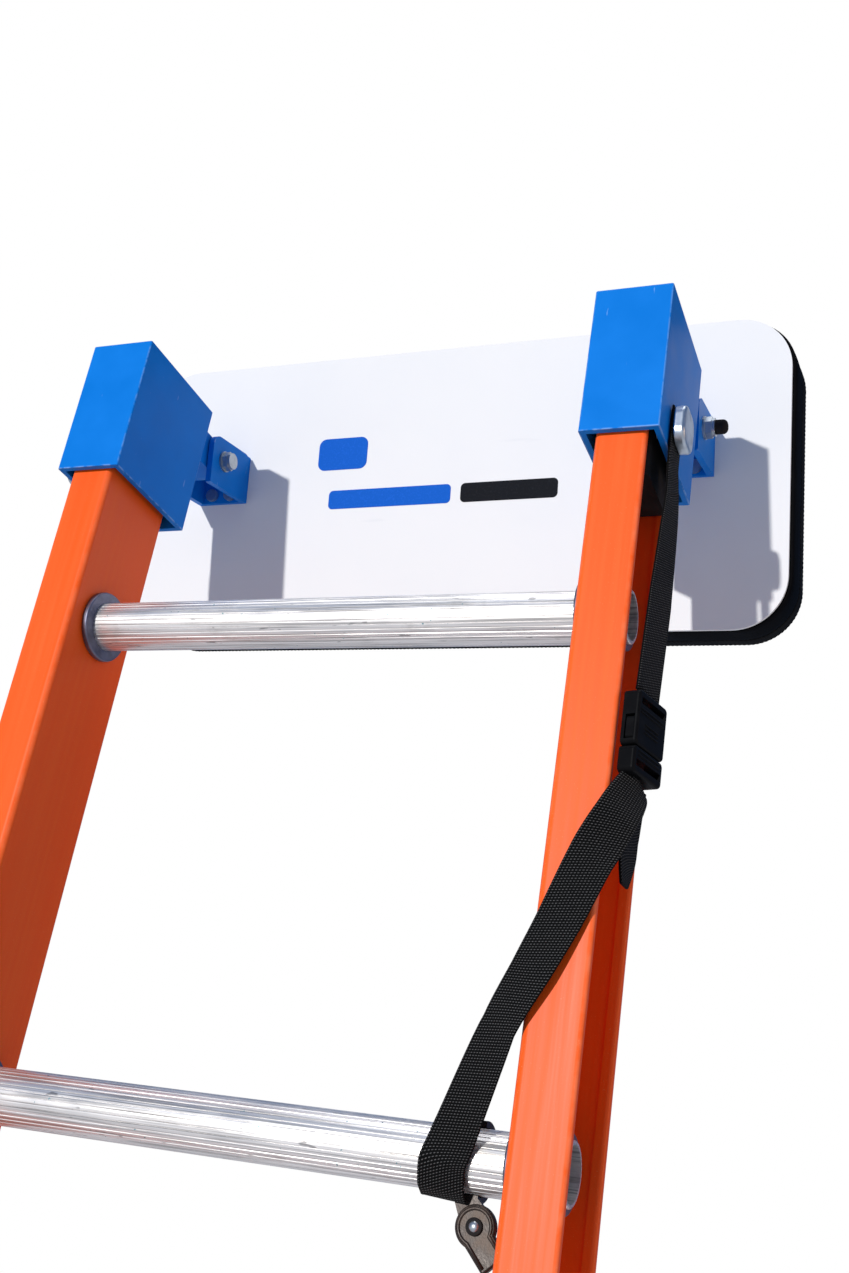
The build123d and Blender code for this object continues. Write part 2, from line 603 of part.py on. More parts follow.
KNOB_SIZE = 26.0
KNOB_CORNER_R = 8.5
KNOB_T = 7.0
KNOB_GAP = 2.8             # room for the strap between cap and knob
STUD_START_X = FLY_WEB + WALL + 4.0
with BuildPart() as knob:
    with BuildSketch(Plane.YZ.offset(CAP_SIDE_X + KNOB_GAP)):
        with Locations((KNOB_Y, KNOB_Z)):
            RectangleRounded(KNOB_SIZE, KNOB_SIZE, KNOB_CORNER_R)
    extrude(amount=KNOB_T)
    fillet(knob.faces().sort_by(Axis.X)[-1].edges(), 2.2)
    fillet(knob.faces().sort_by(Axis.X)[0].edges(), 0.8)
    with BuildSketch(Plane.YZ.offset(STUD_START_X)):
        with Locations((KNOB_Y, KNOB_Z)):
            Circle(STUD_R)
    extrude(amount=CAP_SIDE_X + KNOB_GAP - STUD_START_X)
both_sides("knob", knob)


# ---- wall pad -------------------------------------------------------------------------------------------
PAD_X_DIR = (1, 0, 0)
SCREW_R = 2.5
SCREW_CLEAR = 0.1
SCREW_HEAD_R = 5.0
SCREW_HEAD_T = 3.0
BRACKET_T = 4.0
BRACKET_CORNER_R = 2.0
LUG_CORNER_R = 9.0
BRACKET_HALF_WIDTH = LUG_OUTSIDE
SCREW_GRID_X = 16.0
SCREW_GRID_UP = 26.0


def pad_plane(depth, up=0.0):
    """Plane across the pad: local x along +X, local z towards the climber, depth behind the face."""
    return Plane(origin=PAD_MID + PAD_OUT * depth + PAD_UP * up, x_dir=PAD_X_DIR, z_dir=-PAD_OUT)


SCREW_PLACES = [
    (side * CAP_X + dx, dz - LUG_DROP)
    for side in SIDES.values()
    for dx in (-SCREW_GRID_X / 2, SCREW_GRID_X / 2)
    for dz in (-SCREW_GRID_UP / 2, SCREW_GRID_UP / 2)
]

with BuildPart() as pad_board:
    with BuildSketch(pad_plane(0)):
        RectangleRounded(BOARD_WIDTH, PAD_HEIGHT, PAD_CORNER_R)
    extrude(amount=-BOARD_T)
    with BuildSketch(pad_plane(-1, PIVOT_ABOVE_PAD_MID)):
        with Locations(SCREW_PLACES):
            Circle(SCREW_R + SCREW_CLEAR)
    extrude(amount=-BOARD_T - 2, mode=Mode.SUBTRACT)
keep("pad_board", pad_board)

with BuildPart() as pad_foam:
    with BuildSketch(pad_plane(BOARD_T)):
        RectangleRounded(PAD_WIDTH, PAD_HEIGHT, PAD_CORNER_R)
    extrude(amount=-FOAM_T)
keep("pad_foam", pad_foam)

with BuildPart() as pad_rubber:
    with BuildSketch(pad_plane(BOARD_T + FOAM_T)):
        RectangleRounded(PAD_WIDTH, PAD_HEIGHT, PAD_CORNER_R)
    extrude(amount=-RUBBER_T)
keep("pad_rubber", pad_rubber)

for side_name, side in SIDES.items():
    with BuildPart() as pad_bracket:
        with BuildSketch(pad_plane(0, PIVOT_ABOVE_PAD_MID)):
            with Locations((side * CAP_X, -LUG_DROP)):
                RectangleRounded(2 * BRACKET_HALF_WIDTH, LUG_HEIGHT, BRACKET_CORNER_R)
        extrude(amount=BRACKET_T)
        for lug_low in (side * CAP_X - LUG_OUTSIDE, side * CAP_X + LUG_OUTSIDE - LUG_T):
            lug_plane = Plane(
                origin=BOARD_FACE + Vector(lug_low, 0, 0), x_dir=-PAD_OUT, z_dir=(1, 0, 0))
            with BuildSketch(lug_plane):
                with Locations((LUG_REACH / 2, LUG_DROP)):
                    Rectangle(LUG_REACH, LUG_HEIGHT)
                fillet(vertices().group_by(Axis.Y)[0], LUG_CORNER_R)
                with Locations((PIVOT_TO_BOARD, 0)):
                    Circle(PIVOT_BOLT_R, mode=Mode.SUBTRACT)
            extrude(amount=LUG_T)
        with BuildSketch(pad_plane(-BRACKET_T - 1, PIVOT_ABOVE_PAD_MID)):
            with Locations(SCREW_PLACES):
                Circle(SCREW_R + SCREW_CLEAR)
        extrude(amount=-BRACKET_T - 2, mode=Mode.SUBTRACT)
    keep(f"pad_bracket_{side_name}", pad_bracket)

with BuildPart() as pad_screws:
    with BuildSketch(pad_plane(-BRACKET_T, PIVOT_ABOVE_PAD_MID)):
        with Locations(SCREW_PLACES):
            Circle(SCREW_HEAD_R)
    extrude(amount=SCREW_HEAD_T)
    with BuildSketch(pad_plane(-BRACKET_T, PIVOT_ABOVE_PAD_MID)):
        with Locations(SCREW_PLACES):
            Circle(SCREW_R)
    extrude(amount=-BRACKET_T - BOARD_T)
keep("pad_screws", pad_screws)

NUT_T = 6.5
NUT_R = 7.5
WASHER_R = 8.0
WASHER_T = 1.4
SHANK_BEYOND_NUT = 4.0
STUD_CAP_R = 4.6
with BuildPart() as pivot_bolts:
    for side in SIDES.values():
        left_face = side * CAP_X - LUG_OUTSIDE
        with BuildSketch(Plane.YZ.offset(left_face - NUT_T + 1)):
            with Locations((PIVOT.Y, PIVOT.Z)):
                RegularPolygon(NUT_R, 6)
        extrude(amount=NUT_T - 1)
        with BuildSketch(Plane.YZ.offset(left_face)):
            with Locations((PIVOT.Y, PIVOT.Z)):
                Circle(PIVOT_BOLT_R)
        extrude(amount=2 * LUG_OUTSIDE + WASHER_T + NUT_T + SHANK_BEYOND_NUT * (side > 0))
keep("pivot_bolts", pivot_bolts)

with BuildPart() as pivot_nuts:
    for side in SIDES.values():
        right_face = side * CAP_X + LUG_OUTSIDE
        with BuildSketch(Plane.YZ.offset(right_face)):
            with Locations((PIVOT.Y, PIVOT.Z)):
                Circle(WASHER_R)
        extrude(amount=WASHER_T)
        with BuildSketch(Plane.YZ.offset(right_face + WASHER_T)):
            with Locations((PIVOT.Y, PIVOT.Z)):
                RegularPolygon(NUT_R, 6)
        extrude(amount=NUT_T - 2)
        with BuildSketch(Plane.YZ.offset(right_face + WASHER_T + NUT_T - 2)):
            with Locations((PIVOT.Y, PIVOT.Z)):
                Circle(NUT_R - 1.2)
        extrude(amount=2)
        with BuildSketch(Plane.YZ.offset(right_face)):
            with Locations((PIVOT.Y, PIVOT.Z)):
                Circle(PIVOT_BOLT_R)
        extrude(amount=WASHER_T + NUT_T, mode=Mode.SUBTRACT)
keep("pivot_nuts", pivot_nuts)

with BuildPart() as thread_cap:
    cap_start = CAP_X + LUG_OUTSIDE + WASHER_T + NUT_T + 0.2
    with BuildSketch(Plane.YZ.offset(cap_start)):
        with Locations((PIVOT.Y, PIVOT.Z)):
            Circle(STUD_CAP_R + 0.4)
    extrude(amount=SHANK_BEYOND_NUT + 4)
    fillet(thread_cap.edges().group_by(Axis.X)[-1], 3.4)
    with BuildSketch(Plane.YZ.offset(cap_start)):
        with Locations((PIVOT.Y, PIVOT.Z)):
            Circle(PIVOT_BOLT_R)
    extrude(amount=SHANK_BEYOND_NUT, mode=Mode.SUBTRACT)
keep("thread_cap", thread_cap)


# ---- safety strap: webbing, buckle and rung hook ----------------------------------------------------------
YAW = radians(BUCKLE_YAW)
ACROSS = Vector(sin(YAW), cos(YAW), 0)
BUCKLE_MID = Vector(213.8, FLY_Y - 20.0, TOP_RUNG_Z - 84.0)
BUCKLE = Plane(origin=BUCKLE_MID, x_dir=ACROSS, z_dir=(cos(YAW), -sin(YAW), 0))
CAVITY_W = 26.0
CAVITY_T = 5.6
WINDOW_LOW = -5.0
WINDOW_HIGH = 9.0
SLOT_UP = 17.5
SLOT_H = 3.8
SLOT_W = 26.4
PRONG_T = 4.6
PRONG_IN = 8.6
PRONG_OUT = 15.4
INSERT_TONGUE_HALF = 5.8


def strap_section(centre, across, travel):
    """A rectangle of webbing across the strap, its wide side along across."""
    wide = Vector(*across).normalized()
    along = Vector(*travel)
    along = (along - wide * along.dot(wide)).normalized()
    return Plane(origin=Vector(*centre) + Vector(0, FLY_Y, TOP_RUNG_Z), x_dir=wide, z_dir=along)


def make_webbing(stations):
    """Flat webbing lofted through (centre, wide direction, travel direction, width) stations."""
    with BuildPart() as webbing:
        for centre, across, travel, width in stations:
            with BuildSketch(strap_section(centre, across, travel)):
                Rectangle(width, WEBBING_T)
        loft(ruled=True)
    return webbing


DOWN = (0, 0, -1)
buckle_across = (ACROSS.X, ACROSS.Y, 0)
buckle_top = (213.8, -20.0, -84.0 + BUCKLE_HALF + 0.4)
buckle_foot = (213.8, -20.0, -84.0 - BUCKLE_HALF - 0.4)

strap_upper = make_webbing([
    ((212.4, KNOB_BACK + 1, 131.0), (0, 1, 0), DOWN, WEBBING_W),
    ((212.4, KNOB_BACK + 1, 98.0), (0, 1, 0), DOWN, WEBBING_W),
    ((213.0, -4.0, 70.0), (0.08, 1, 0), DOWN, WEBBING_W),
    ((213.8, -12.0, 5.0), buckle_across, DOWN, WEBBING_W),
    (buckle_top, buckle_across, DOWN, WEBBING_W),
])
with BuildPart() as strap_upper_holed:
    add(strap_upper.part)
    with BuildSketch(Plane.YZ.offset(CAP_SIDE_X)):
        with Locations((KNOB_Y, KNOB_Z)):
            Circle(STUD_R + STUD_CLEAR)
    extrude(amount=KNOB_GAP, mode=Mode.SUBTRACT)
keep("strap_upper", strap_upper_holed)

strap_lower = make_webbing([
    (buckle_foot, buckle_across, DOWN, WEBBING_W),
    ((208.2, -34.6, -131.0), (18.5, 18.0, 2.0), (-0.3, -0.3, -1), WEBBING_W),
    ((197.4, -39.2, -157.0), (0.95, 0.1, -0.3), (-0.4, 0, -1), WEBBING_W),
    ((184.5, -39.2, -190.0), (0.93, -0.1, -0.36), (-0.38, 0, -1), WEBBING_W),
    ((174.0, -39.4, -214.0), (0.9, -0.25, -0.3), (-0.4, 0.1, -1), WEBBING_W),
    ((159.0, -34.8, -243.0), (0.86, -0.42, -0.28), (-0.4, 0.25, -1), WEBBING_W),
    ((137.5, -19.5, -296.0), (0.94, -0.05, -0.3), (-0.25, 0.1, -1), WEBBING_W),
    ((133.0, -18.2, -309.0), (1, 0, -0.12), (-0.1, 0.2, -1), WEBBING_W),
    ((132.0, -12.5, -320.0), (1, 0, -0.1), (0, 1, -1), WEBBING_W),
    ((132.0, -6.4, -324.2), (1, 0, -0.1), (0, 1, -0.4), WEBBING_W),
])
keep("strap_lower", strap_lower)

strap_tail = make_webbing([
    ((210.2, -14.0, -108.5), buckle_across, DOWN, WEBBING_W),
    ((210.4, -15.0, -136.0), (0.1, 1, 0), DOWN, WEBBING_W),
    ((210.6, -17.0, -151.0), (0.1, 1, 0), DOWN, WEBBING_W),
    ((210.6, -17.5, -164.0), (0.1, 1, 0), DOWN, 9.0),
])
keep("strap_tail", strap_tail)

with BuildPart() as buckle_body:
    with BuildSketch(BUCKLE.offset(-BUCKLE_T / 2)):
        with Locations((0, (BUCKLE_HALF + BUCKLE_JOINT) / 2)):
            RectangleRounded(BUCKLE_W, BUCKLE_HALF - BUCKLE_JOINT, 3)
    extrude(amount=BUCKLE_T)
    fillet(buckle_body.faces().sort_by(Axis(BUCKLE_MID, BUCKLE.z_dir))[-1].edges(), 1.8)
    with BuildSketch(BUCKLE.offset(-CAVITY_T / 2)):
        with Locations((0, (WINDOW_HIGH + BUCKLE_JOINT) / 2 - 0.5)):
            Rectangle(CAVITY_W, WINDOW_HIGH - BUCKLE_JOINT + 1)
        with Locations((0, (WINDOW_HIGH + WINDOW_LOW) / 2)):
            Rectangle(BUCKLE_W + 4, WINDOW_HIGH - WINDOW_LOW)
    extrude(amount=CAVITY_T, mode=Mode.SUBTRACT)
    with BuildSketch(BUCKLE.offset(-BUCKLE_T)):
        with Locations((0, SLOT_UP)):
            Rectangle(SLOT_W, SLOT_H)
    extrude(amount=2 * BUCKLE_T, mode=Mode.SUBTRACT)
keep("buckle_body", buckle_body)

with BuildPart() as buckle_insert:
    insert_top = BUCKLE_JOINT - 0.3
    with BuildSketch(BUCKLE.offset(-BUCKLE_T / 2)):
        with Locations((0, (insert_top - BUCKLE_HALF) / 2)):
            RectangleRounded(BUCKLE_W, insert_top + BUCKLE_HALF, 3)
    extrude(amount=BUCKLE_T)
    fillet(buckle_insert.faces().sort_by(Axis(BUCKLE_MID, BUCKLE.z_dir))[-1].edges(), 1.8)
    with BuildSketch(BUCKLE.offset(-PRONG_T / 2)):
        with Locations((0, (WINDOW_HIGH - 2 + insert_top - 2) / 2)):
            Rectangle(2 * INSERT_TONGUE_HALF, WINDOW_HIGH - insert_top)
    extrude(amount=PRONG_T)
    with BuildSketch(BUCKLE.offset(-BUCKLE_T)):
        with Locations((0, -SLOT_UP)):
            Rectangle(SLOT_W, SLOT_H)
    extrude(amount=2 * BUCKLE_T, mode=Mode.SUBTRACT)
keep("buckle_insert", buckle_insert)

for prong_name, way in (("front", -1), ("rear", 1)):
    with BuildPart() as buckle_prong:
        with BuildSketch(BUCKLE.offset(-PRONG_T / 2)):
            with Locations((way * (PRONG_IN + PRONG_OUT) / 2, (WINDOW_LOW + WINDOW_HIGH) / 2)):
                RectangleRounded(PRONG_OUT - PRONG_IN, WINDOW_HIGH - WINDOW_LOW - 1.2, 2)
        extrude(amount=PRONG_T)
    keep(f"buckle_prong_{prong_name}", buckle_prong)

HOOK_X = 142.0
HOOK_WIDTH = 14.0
HOOK_BAND_T = 3.2
HOOK_BAND_IN = RUNG_R + 0.5
HOOK_BAND_OUT = HOOK_BAND_IN + HOOK_BAND_T
HOOK_BAND_FRONT = -4.0     # band's cut end, from the rung's middle
TAB_Y = FLY_Y - 4.0
TAB_T = 3.2
TAB_HEAD_R = 8.5
PAWL_UP = HOOK_RUNG_Z - 30.5
PAWL_X = 151.0
PAWL_T = 4.0
PAWL_GAP = 0.6
PAWL_HEAD_R = 10.5
PAWL_EDGE_R = 1.2
PAWL_FRONT_Y = TAB_Y - PAWL_GAP - PAWL_T
HOOK_RIVET_R = 3.0
HOOK_RIVET_HEAD_R = 4.4
HOOK_RIVET_HEAD_T = 2.0
# neck of the tab between the band and the rivet, as X and distance below the rung's middle
TAB_NECK = [(136.0, 17.3), (149.0, 17.3), (157.5, 25.0), (144.5, 36.0)]

with BuildPart() as rung_hook:
    with BuildSketch(Plane.YZ.offset(HOOK_X - HOOK_WIDTH / 2)):
        with Locations((FLY_Y, HOOK_RUNG_Z)):
            Circle(HOOK_BAND_OUT)
            Circle(HOOK_BAND_IN, mode=Mode.SUBTRACT)
        with Locations((FLY_Y + HOOK_BAND_FRONT - HOOK_BAND_OUT, HOOK_RUNG_Z)):
            Rectangle(2 * HOOK_BAND_OUT, 4 * HOOK_BAND_OUT, mode=Mode.SUBTRACT)
    extrude(amount=HOOK_WIDTH)
    with BuildSketch(Plane.XZ.offset(-TAB_Y)):
        with BuildLine():
            Polyline([(x, HOOK_RUNG_Z - down) for x, down in TAB_NECK], close=True)
        make_face()
        with Locations((PAWL_X, PAWL_UP)):
            Circle(TAB_HEAD_R)
            Circle(HOOK_RIVET_R, mode=Mode.SUBTRACT)
    extrude(amount=-TAB_T)
keep("rung_hook", rung_hook)

ARM_ANGLE = -47.0
ARM_LENGTH = 20.0
ARM_WIDTH = 15.0
ARM_SHIFT = -2.0
with BuildPart() as hook_latch:
    with BuildSketch(Plane.XZ.offset(-PAWL_FRONT_Y)):
        with Locations((PAWL_X, PAWL_UP)):
            Circle(PAWL_HEAD_R)
            with Locations(Location((0, 0), ARM_ANGLE)):
                with Locations((ARM_LENGTH / 2, ARM_SHIFT)):
                    Rectangle(ARM_LENGTH, ARM_WIDTH)
    extrude(amount=-PAWL_T)
    fillet(hook_latch.faces().sort_by(Axis.Y)[0].edges(), PAWL_EDGE_R)
    with BuildSketch(Plane.XZ.offset(-PAWL_FRONT_Y)):
        with Locations((PAWL_X, PAWL_UP)):
            Circle(HOOK_RIVET_R + LOCK_FIT)
    extrude(amount=-PAWL_T, mode=Mode.SUBTRACT)
keep("hook_latch", hook_latch)

with BuildPart() as hook_rivet:
    shank_start = PAWL_FRONT_Y - PAWL_GAP
    tab_rear = TAB_Y + TAB_T
    for start, radius, length in (
        (shank_start - HOOK_RIVET_HEAD_T, HOOK_RIVET_HEAD_R, HOOK_RIVET_HEAD_T),
        (shank_start, HOOK_RIVET_R, tab_rear - shank_start),
        (tab_rear, HOOK_RIVET_HEAD_R, HOOK_RIVET_HEAD_T),
    ):
        with BuildSketch(Plane.XZ.offset(-start)):
            with Locations((PAWL_X, PAWL_UP)):
                Circle(radius)
        extrude(amount=-length)
keep("hook_rivet", hook_rivet)

print("fly mid plane y", round(FLY_Y, 3), "base mid plane y", round(BASE_Y, 3))
print("top rung z", round(TOP_RUNG_Z, 2), "pivot", PIVOT, "pad middle", PAD_MID)
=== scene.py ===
import json
import math

import bmesh
import bpy
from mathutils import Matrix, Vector


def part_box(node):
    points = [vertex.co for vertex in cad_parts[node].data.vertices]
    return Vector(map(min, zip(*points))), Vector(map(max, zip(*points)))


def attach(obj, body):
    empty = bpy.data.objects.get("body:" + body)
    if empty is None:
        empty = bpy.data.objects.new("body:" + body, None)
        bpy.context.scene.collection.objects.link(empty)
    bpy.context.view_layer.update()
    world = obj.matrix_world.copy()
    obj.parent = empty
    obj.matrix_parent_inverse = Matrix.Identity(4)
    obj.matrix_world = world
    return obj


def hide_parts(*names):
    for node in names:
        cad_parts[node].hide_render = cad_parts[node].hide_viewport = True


# Looks for the extension ladder: metres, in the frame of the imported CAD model.

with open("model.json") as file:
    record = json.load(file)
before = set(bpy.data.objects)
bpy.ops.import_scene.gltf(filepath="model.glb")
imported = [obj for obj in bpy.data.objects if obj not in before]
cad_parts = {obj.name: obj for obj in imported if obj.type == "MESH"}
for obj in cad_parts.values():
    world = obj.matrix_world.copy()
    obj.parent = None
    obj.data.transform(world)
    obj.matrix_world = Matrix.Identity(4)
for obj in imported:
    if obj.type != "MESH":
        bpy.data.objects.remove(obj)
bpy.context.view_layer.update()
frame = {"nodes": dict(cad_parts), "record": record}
NODES = frame["nodes"]
MOUNTS = {mount["name"]: mount for mount in frame["record"]["mounts"]}


def middle(node):
    """Centre of a CAD node's box."""
    low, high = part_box(node)
    return (low + high) / 2


TOP_RUNG = middle("fly_rung_8")
FLY_Y = TOP_RUNG.y
PAD_OUT = Vector(MOUNTS["wall_pad"]["axis"]).normalized()
PAD_UP = Vector((0, -PAD_OUT.z, PAD_OUT.y))
PAD_T = 0.052
PAD_FRONT = Vector(MOUNTS["wall_pad"]["pos_m"]) - PAD_OUT * PAD_T


# ---- materials ------------------------------------------------------------------------------
class Finish:
    """A Principled material whose base colour is painted in layers of procedural masks."""

    def __init__(self, name, colour, metallic=0.0, specular=0.5):
        self.material = bpy.data.materials.new(name)
        self.material.use_nodes = True
        self.tree = self.material.node_tree
        self.shader = self.tree.nodes["Principled BSDF"]
        self.shader.inputs["Metallic"].default_value = metallic
        self.shader.inputs["Specular IOR Level"].default_value = specular
        self.place = self.add("ShaderNodeTexCoord").outputs["Object"]
        self.colour = (*colour, 1.0)
        self.normal = None

    def add(self, kind, values=(), **settings):
        """A node with its settings, and its inputs as (name or index, value or output) pairs."""
        node = self.tree.nodes.new(kind)
        for name, value in settings.items():
            setattr(node, name, value)
        for key, value in values:
            if isinstance(value, bpy.types.NodeSocket):
                self.tree.links.new(value, node.inputs[key])
            else:
                node.inputs[key].default_value = value
        return node

    def math(self, operation, *values):
        """Output of a math node on these values."""
        return self.add("ShaderNodeMath", enumerate(values), operation=operation).outputs[0]

    def vector(self, operation, *values):
        """Output of a vector math node on these values."""
        return self.add("ShaderNodeVectorMath", enumerate(values), operation=operation).outputs[0]

    def stretched(self, factors):
        """Texture space squeezed along each axis, so that grain runs along the small factor."""
        return self.vector("MULTIPLY", self.place, factors)

    def noise(self, scale, detail=4.0, stretch=None, rough=0.55):
        """Noise at a scale in cycles per metre, stretched into grain if stretch is given."""
        place = self.stretched(stretch) if stretch else self.place
        values = (("Vector", place), ("Scale", scale), ("Detail", detail), ("Roughness", rough))
        return self.add("ShaderNodeTexNoise", values).outputs["Fac"]

    def ramp(self, value, start, end, low=0.0, high=1.0):
        """Value from start to end mapped to low to high, and held there outside."""
        values = ((0, value), (1, start), (2, end), (3, low), (4, high))
        return self.add("ShaderNodeMapRange", values).outputs[0]

    def paint(self, mask, colour):
        """Another colour over what is there, where the mask is white."""
        values = (("Factor", mask), (6, self.colour), (7, (*colour, 1.0)))
        node = self.add("ShaderNodeMix", values, data_type="RGBA")
        self.colour = node.outputs[2]
        return self

    def roughness(self, value, low, high):
        """Roughness from low to high, following a noise."""
        self.tree.links.new(self.ramp(value, 0.25, 0.75, low, high), self.shader.inputs["Roughness"])
        return self

    def bump(self, height, strength, distance=0.001):
        """Another layer of fine relief over what is there."""
        values = [("Height", height), ("Strength", strength), ("Distance", distance)]
        if self.normal is not None:
            values.append(("Normal", self.normal))
        self.normal = self.add("ShaderNodeBump", values).outputs[0]
        return self

    def edges(self, node, width):
        """Mask that is white along the edges of a CAD node's box, on both sides of the ladder."""
        low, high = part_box(node)
        half = (high - low) / 2
        centre = middle(node)
        centre.x = abs(centre.x)
        parts = self.add("ShaderNodeSeparateXYZ", ((0, self.place),)).outputs
        folded = (self.math("ABSOLUTE", parts[0]), parts[1], parts[2])
        place = self.add("ShaderNodeCombineXYZ", enumerate(folded)).outputs[0]
        away = self.vector("ABSOLUTE", self.vector("SUBTRACT", place, tuple(centre)))
        inside = self.vector("SUBTRACT", tuple(half), away)
        near = self.add("ShaderNodeSeparateXYZ", ((0, inside),)).outputs
        x, y, z = (self.ramp(axis, width, 0.0) for axis in near)
        pairs = (self.math("MULTIPLY", x, y), self.math("MULTIPLY", y, z), self.math("MULTIPLY", z, x))
        return self.math("MAXIMUM", self.math("MAXIMUM", pairs[0], pairs[1]), pairs[2])

    def done(self):
        """The material, with its layers and bumps connected."""
        if isinstance(self.colour, tuple):
            self.shader.inputs["Base Color"].default_value = self.colour
        else:
            self.tree.links.new(self.colour, self.shader.inputs["Base Color"])
        if self.normal is not None:
            self.tree.links.new(self.normal, self.shader.inputs["Normal"])
        return self.material


def fibreglass(rail):
    """Orange pultruded channel: lengthwise strands, pale patches that are partly dust and partly a
    painted sheen, tiny specks and pale corners.
    """
    look = Finish(f"fibreglass_{rail}", (0.95, 0.102, 0.006), specular=0.22)
    strands = look.noise(260, 5, (1.0, 1.0, 0.02))
    dust_and_sheen = look.noise(4.5, 4, (1.0, 1.0, 0.35))
    specks = look.noise(1500, 2)
    worn = look.math("MULTIPLY", look.edges(rail, 0.0028), look.ramp(look.noise(70, 6), 0.35, 0.65))
    look.paint(look.ramp(strands, 0.44, 0.68, 0.0, 0.35), (0.98, 0.140, 0.016))
    # pale patches: partly dust, partly a painted sheen of light on the flanges
    look.paint(look.ramp(dust_and_sheen, 0.45, 0.75, 0.0, 0.30), (1.0, 0.20, 0.050))
    look.paint(look.ramp(specks, 0.66, 0.74, 0.0, 0.40), (1.0, 0.42, 0.22))
    look.paint(look.math("MULTIPLY", worn, 0.55), (1.0, 0.40, 0.22))
    look.roughness(strands, 0.34, 0.50)
    look.bump(strands, 0.10).bump(specks, 0.06, 0.0004)
    return look.done()


def rung_metal():
    """Worn mill aluminium: dark lengthwise lines that are partly drawing lines and partly a painted
    shade for the flute grooves, scratches, grime and a few teal paint specks.
    """
    look = Finish("rung_aluminium", (0.91, 0.88, 0.85), metallic=0.85)
    drawn_lines_and_groove_shade = look.noise(900, 3, (0.012, 1.0, 1.0))
    grime = look.noise(38, 6, (0.5, 1.0, 1.0), 0.7)
    scratches = look.noise(420, 2, (0.15, 1.0, 0.6))
    specks = look.noise(330, 1)
    # dark lengthwise lines: partly drawing lines, partly painted shade standing in for the shaded flute
    # grooves
    look.paint(look.ramp(drawn_lines_and_groove_shade, 0.48, 0.62, 0.0, 0.66), (0.27, 0.255, 0.24))
    look.paint(look.ramp(grime, 0.56, 0.72, 0.0, 0.50), (0.34, 0.33, 0.31))
    look.paint(look.ramp(scratches, 0.68, 0.72, 0.0, 0.75), (0.24, 0.23, 0.23))
    look.paint(look.ramp(specks, 0.76, 0.78, 0.0, 0.8), (0.12, 0.30, 0.34))
    look.roughness(grime, 0.27, 0.46)
    look.bump(drawn_lines_and_groove_shade, 0.18, 0.0006).bump(scratches, 0.08, 0.0005)
    return look.done()


def cap_paint(node):
    """Satin blue powder coat with orange peel, and pale edges that are partly rubbed and partly a
    painted highlight.
    """
    look = Finish(f"blue_coat_{node}", (0.002, 0.170, 0.61), specular=0.07)
    clouds = look.noise(30, 3)
    rubbed_and_highlit = look.math("MULTIPLY", look.edges(node, 0.0011), look.ramp(look.noise(160, 5), 0.42, 0.56))
    nicks = look.ramp(look.noise(220, 2, (1.0, 1.0, 0.25)), 0.735, 0.76, 0.0, 0.6)
    look.paint(look.ramp(clouds, 0.35, 0.70, 0.0, 0.35), (0.006, 0.225, 0.76))
    # pale edges: partly rubbed paint, partly a painted highlight along the sharp edges
    look.paint(look.math("MULTIPLY", rubbed_and_highlit, 0.65), (0.30, 0.52, 0.86))
    look.paint(nicks, (0.16, 0.36, 0.75))
    look.roughness(clouds, 0.34, 0.46)
    look.bump(look.noise(1100, 2), 0.06, 0.0006)
    return look.done()


def board_sheet():
    """Smooth white plastic sheet with faint scuffs and a soft mottling."""
    look = Finish("white_sheet", (0.815, 0.810, 0.80), specular=0.04)
    clouds = look.noise(14, 4)
    scuffs = look.noise(160, 3, (0.06, 1.0, 0.5))
    look.paint(look.ramp(clouds, 0.40, 0.75, 0.0, 0.5), (0.785, 0.785, 0.785))
    look.paint(look.ramp(scuffs, 0.70, 0.78, 0.0, 0.30), (0.66, 0.67, 0.69))
    look.roughness(clouds, 0.50, 0.62)
    look.bump(look.noise(700, 2), 0.03, 0.0005)
    return look.done()


WEAVE_YARNS, WEAVE_PITCH = 15, 0.00078


def webbing_weave():
    """Black woven webbing: staggered rows of yarn crossings, from the strap's own layout, with a
    painted highlight on each crossing.
    """
    look = Finish("webbing", (0.0020, 0.0020, 0.0022), specular=0.04)
    look.shader.inputs["Sheen Weight"].default_value = 0.04
    layout = look.add("ShaderNodeTexCoord").outputs["UV"]
    parts = look.add("ShaderNodeSeparateXYZ", ((0, layout),)).outputs
    across = look.math("MULTIPLY", parts[0], math.pi * WEAVE_YARNS)
    along = look.math("MULTIPLY", parts[1], math.pi / WEAVE_PITCH)
    warp = look.math("ABSOLUTE", look.math("SINE", across))
    weft = look.math("SINE", look.math("ADD", along, across))
    yarn = look.math("MULTIPLY", warp, look.ramp(weft, -0.2, 1.0))
    fuzz = look.noise(2600, 3)
    # painted highlight: the yarn crossings are painted pale as glints of light
    painted_glints = look.math("MULTIPLY", look.ramp(yarn, 0.40, 0.85), look.ramp(fuzz, 0.30, 0.65, 0.3, 1.0))
    look.paint(painted_glints, (0.150, 0.148, 0.146))
    look.paint(look.ramp(fuzz, 0.68, 0.76, 0.0, 0.5), (0.14, 0.14, 0.14))
    look.roughness(fuzz, 0.62, 0.85)
    look.bump(yarn, 0.9, 0.0006).bump(fuzz, 0.25, 0.0003)
    return look.done()


def rubber(name, colour, pale, grain, strength):
    """Soft black rubber or foam: dull, with fine pores and dusty patches."""
    look = Finish(name, colour, specular=0.02)
    pores = look.noise(grain, 3)
    dust = look.noise(24, 5)
    look.paint(look.ramp(dust, 0.45, 0.75, 0.0, 0.6), pale)
    look.paint(look.ramp(pores, 0.66, 0.76, 0.0, 0.45), pale)
    look.roughness(dust, 0.55, 0.80)
    look.bump(pores, strength, 0.0006)
    return look.done()


def moulded(name, colour, pale):
    """Moulded plastic with a fine spark-eroded grain and rubbed patches."""
    look = Finish(name, colour, specular=0.06)
    grain = look.noise(1900, 2)
    rubs = look.noise(85, 5)
    look.paint(look.ramp(rubs, 0.52, 0.75, 0.0, 0.5), pale)
    look.paint(look.ramp(grain, 0.62, 0.74, 0.0, 0.30), pale)
    look.roughness(rubs, 0.36, 0.52)
    look.bump(grain, 0.14, 0.0004)
    return look.done()


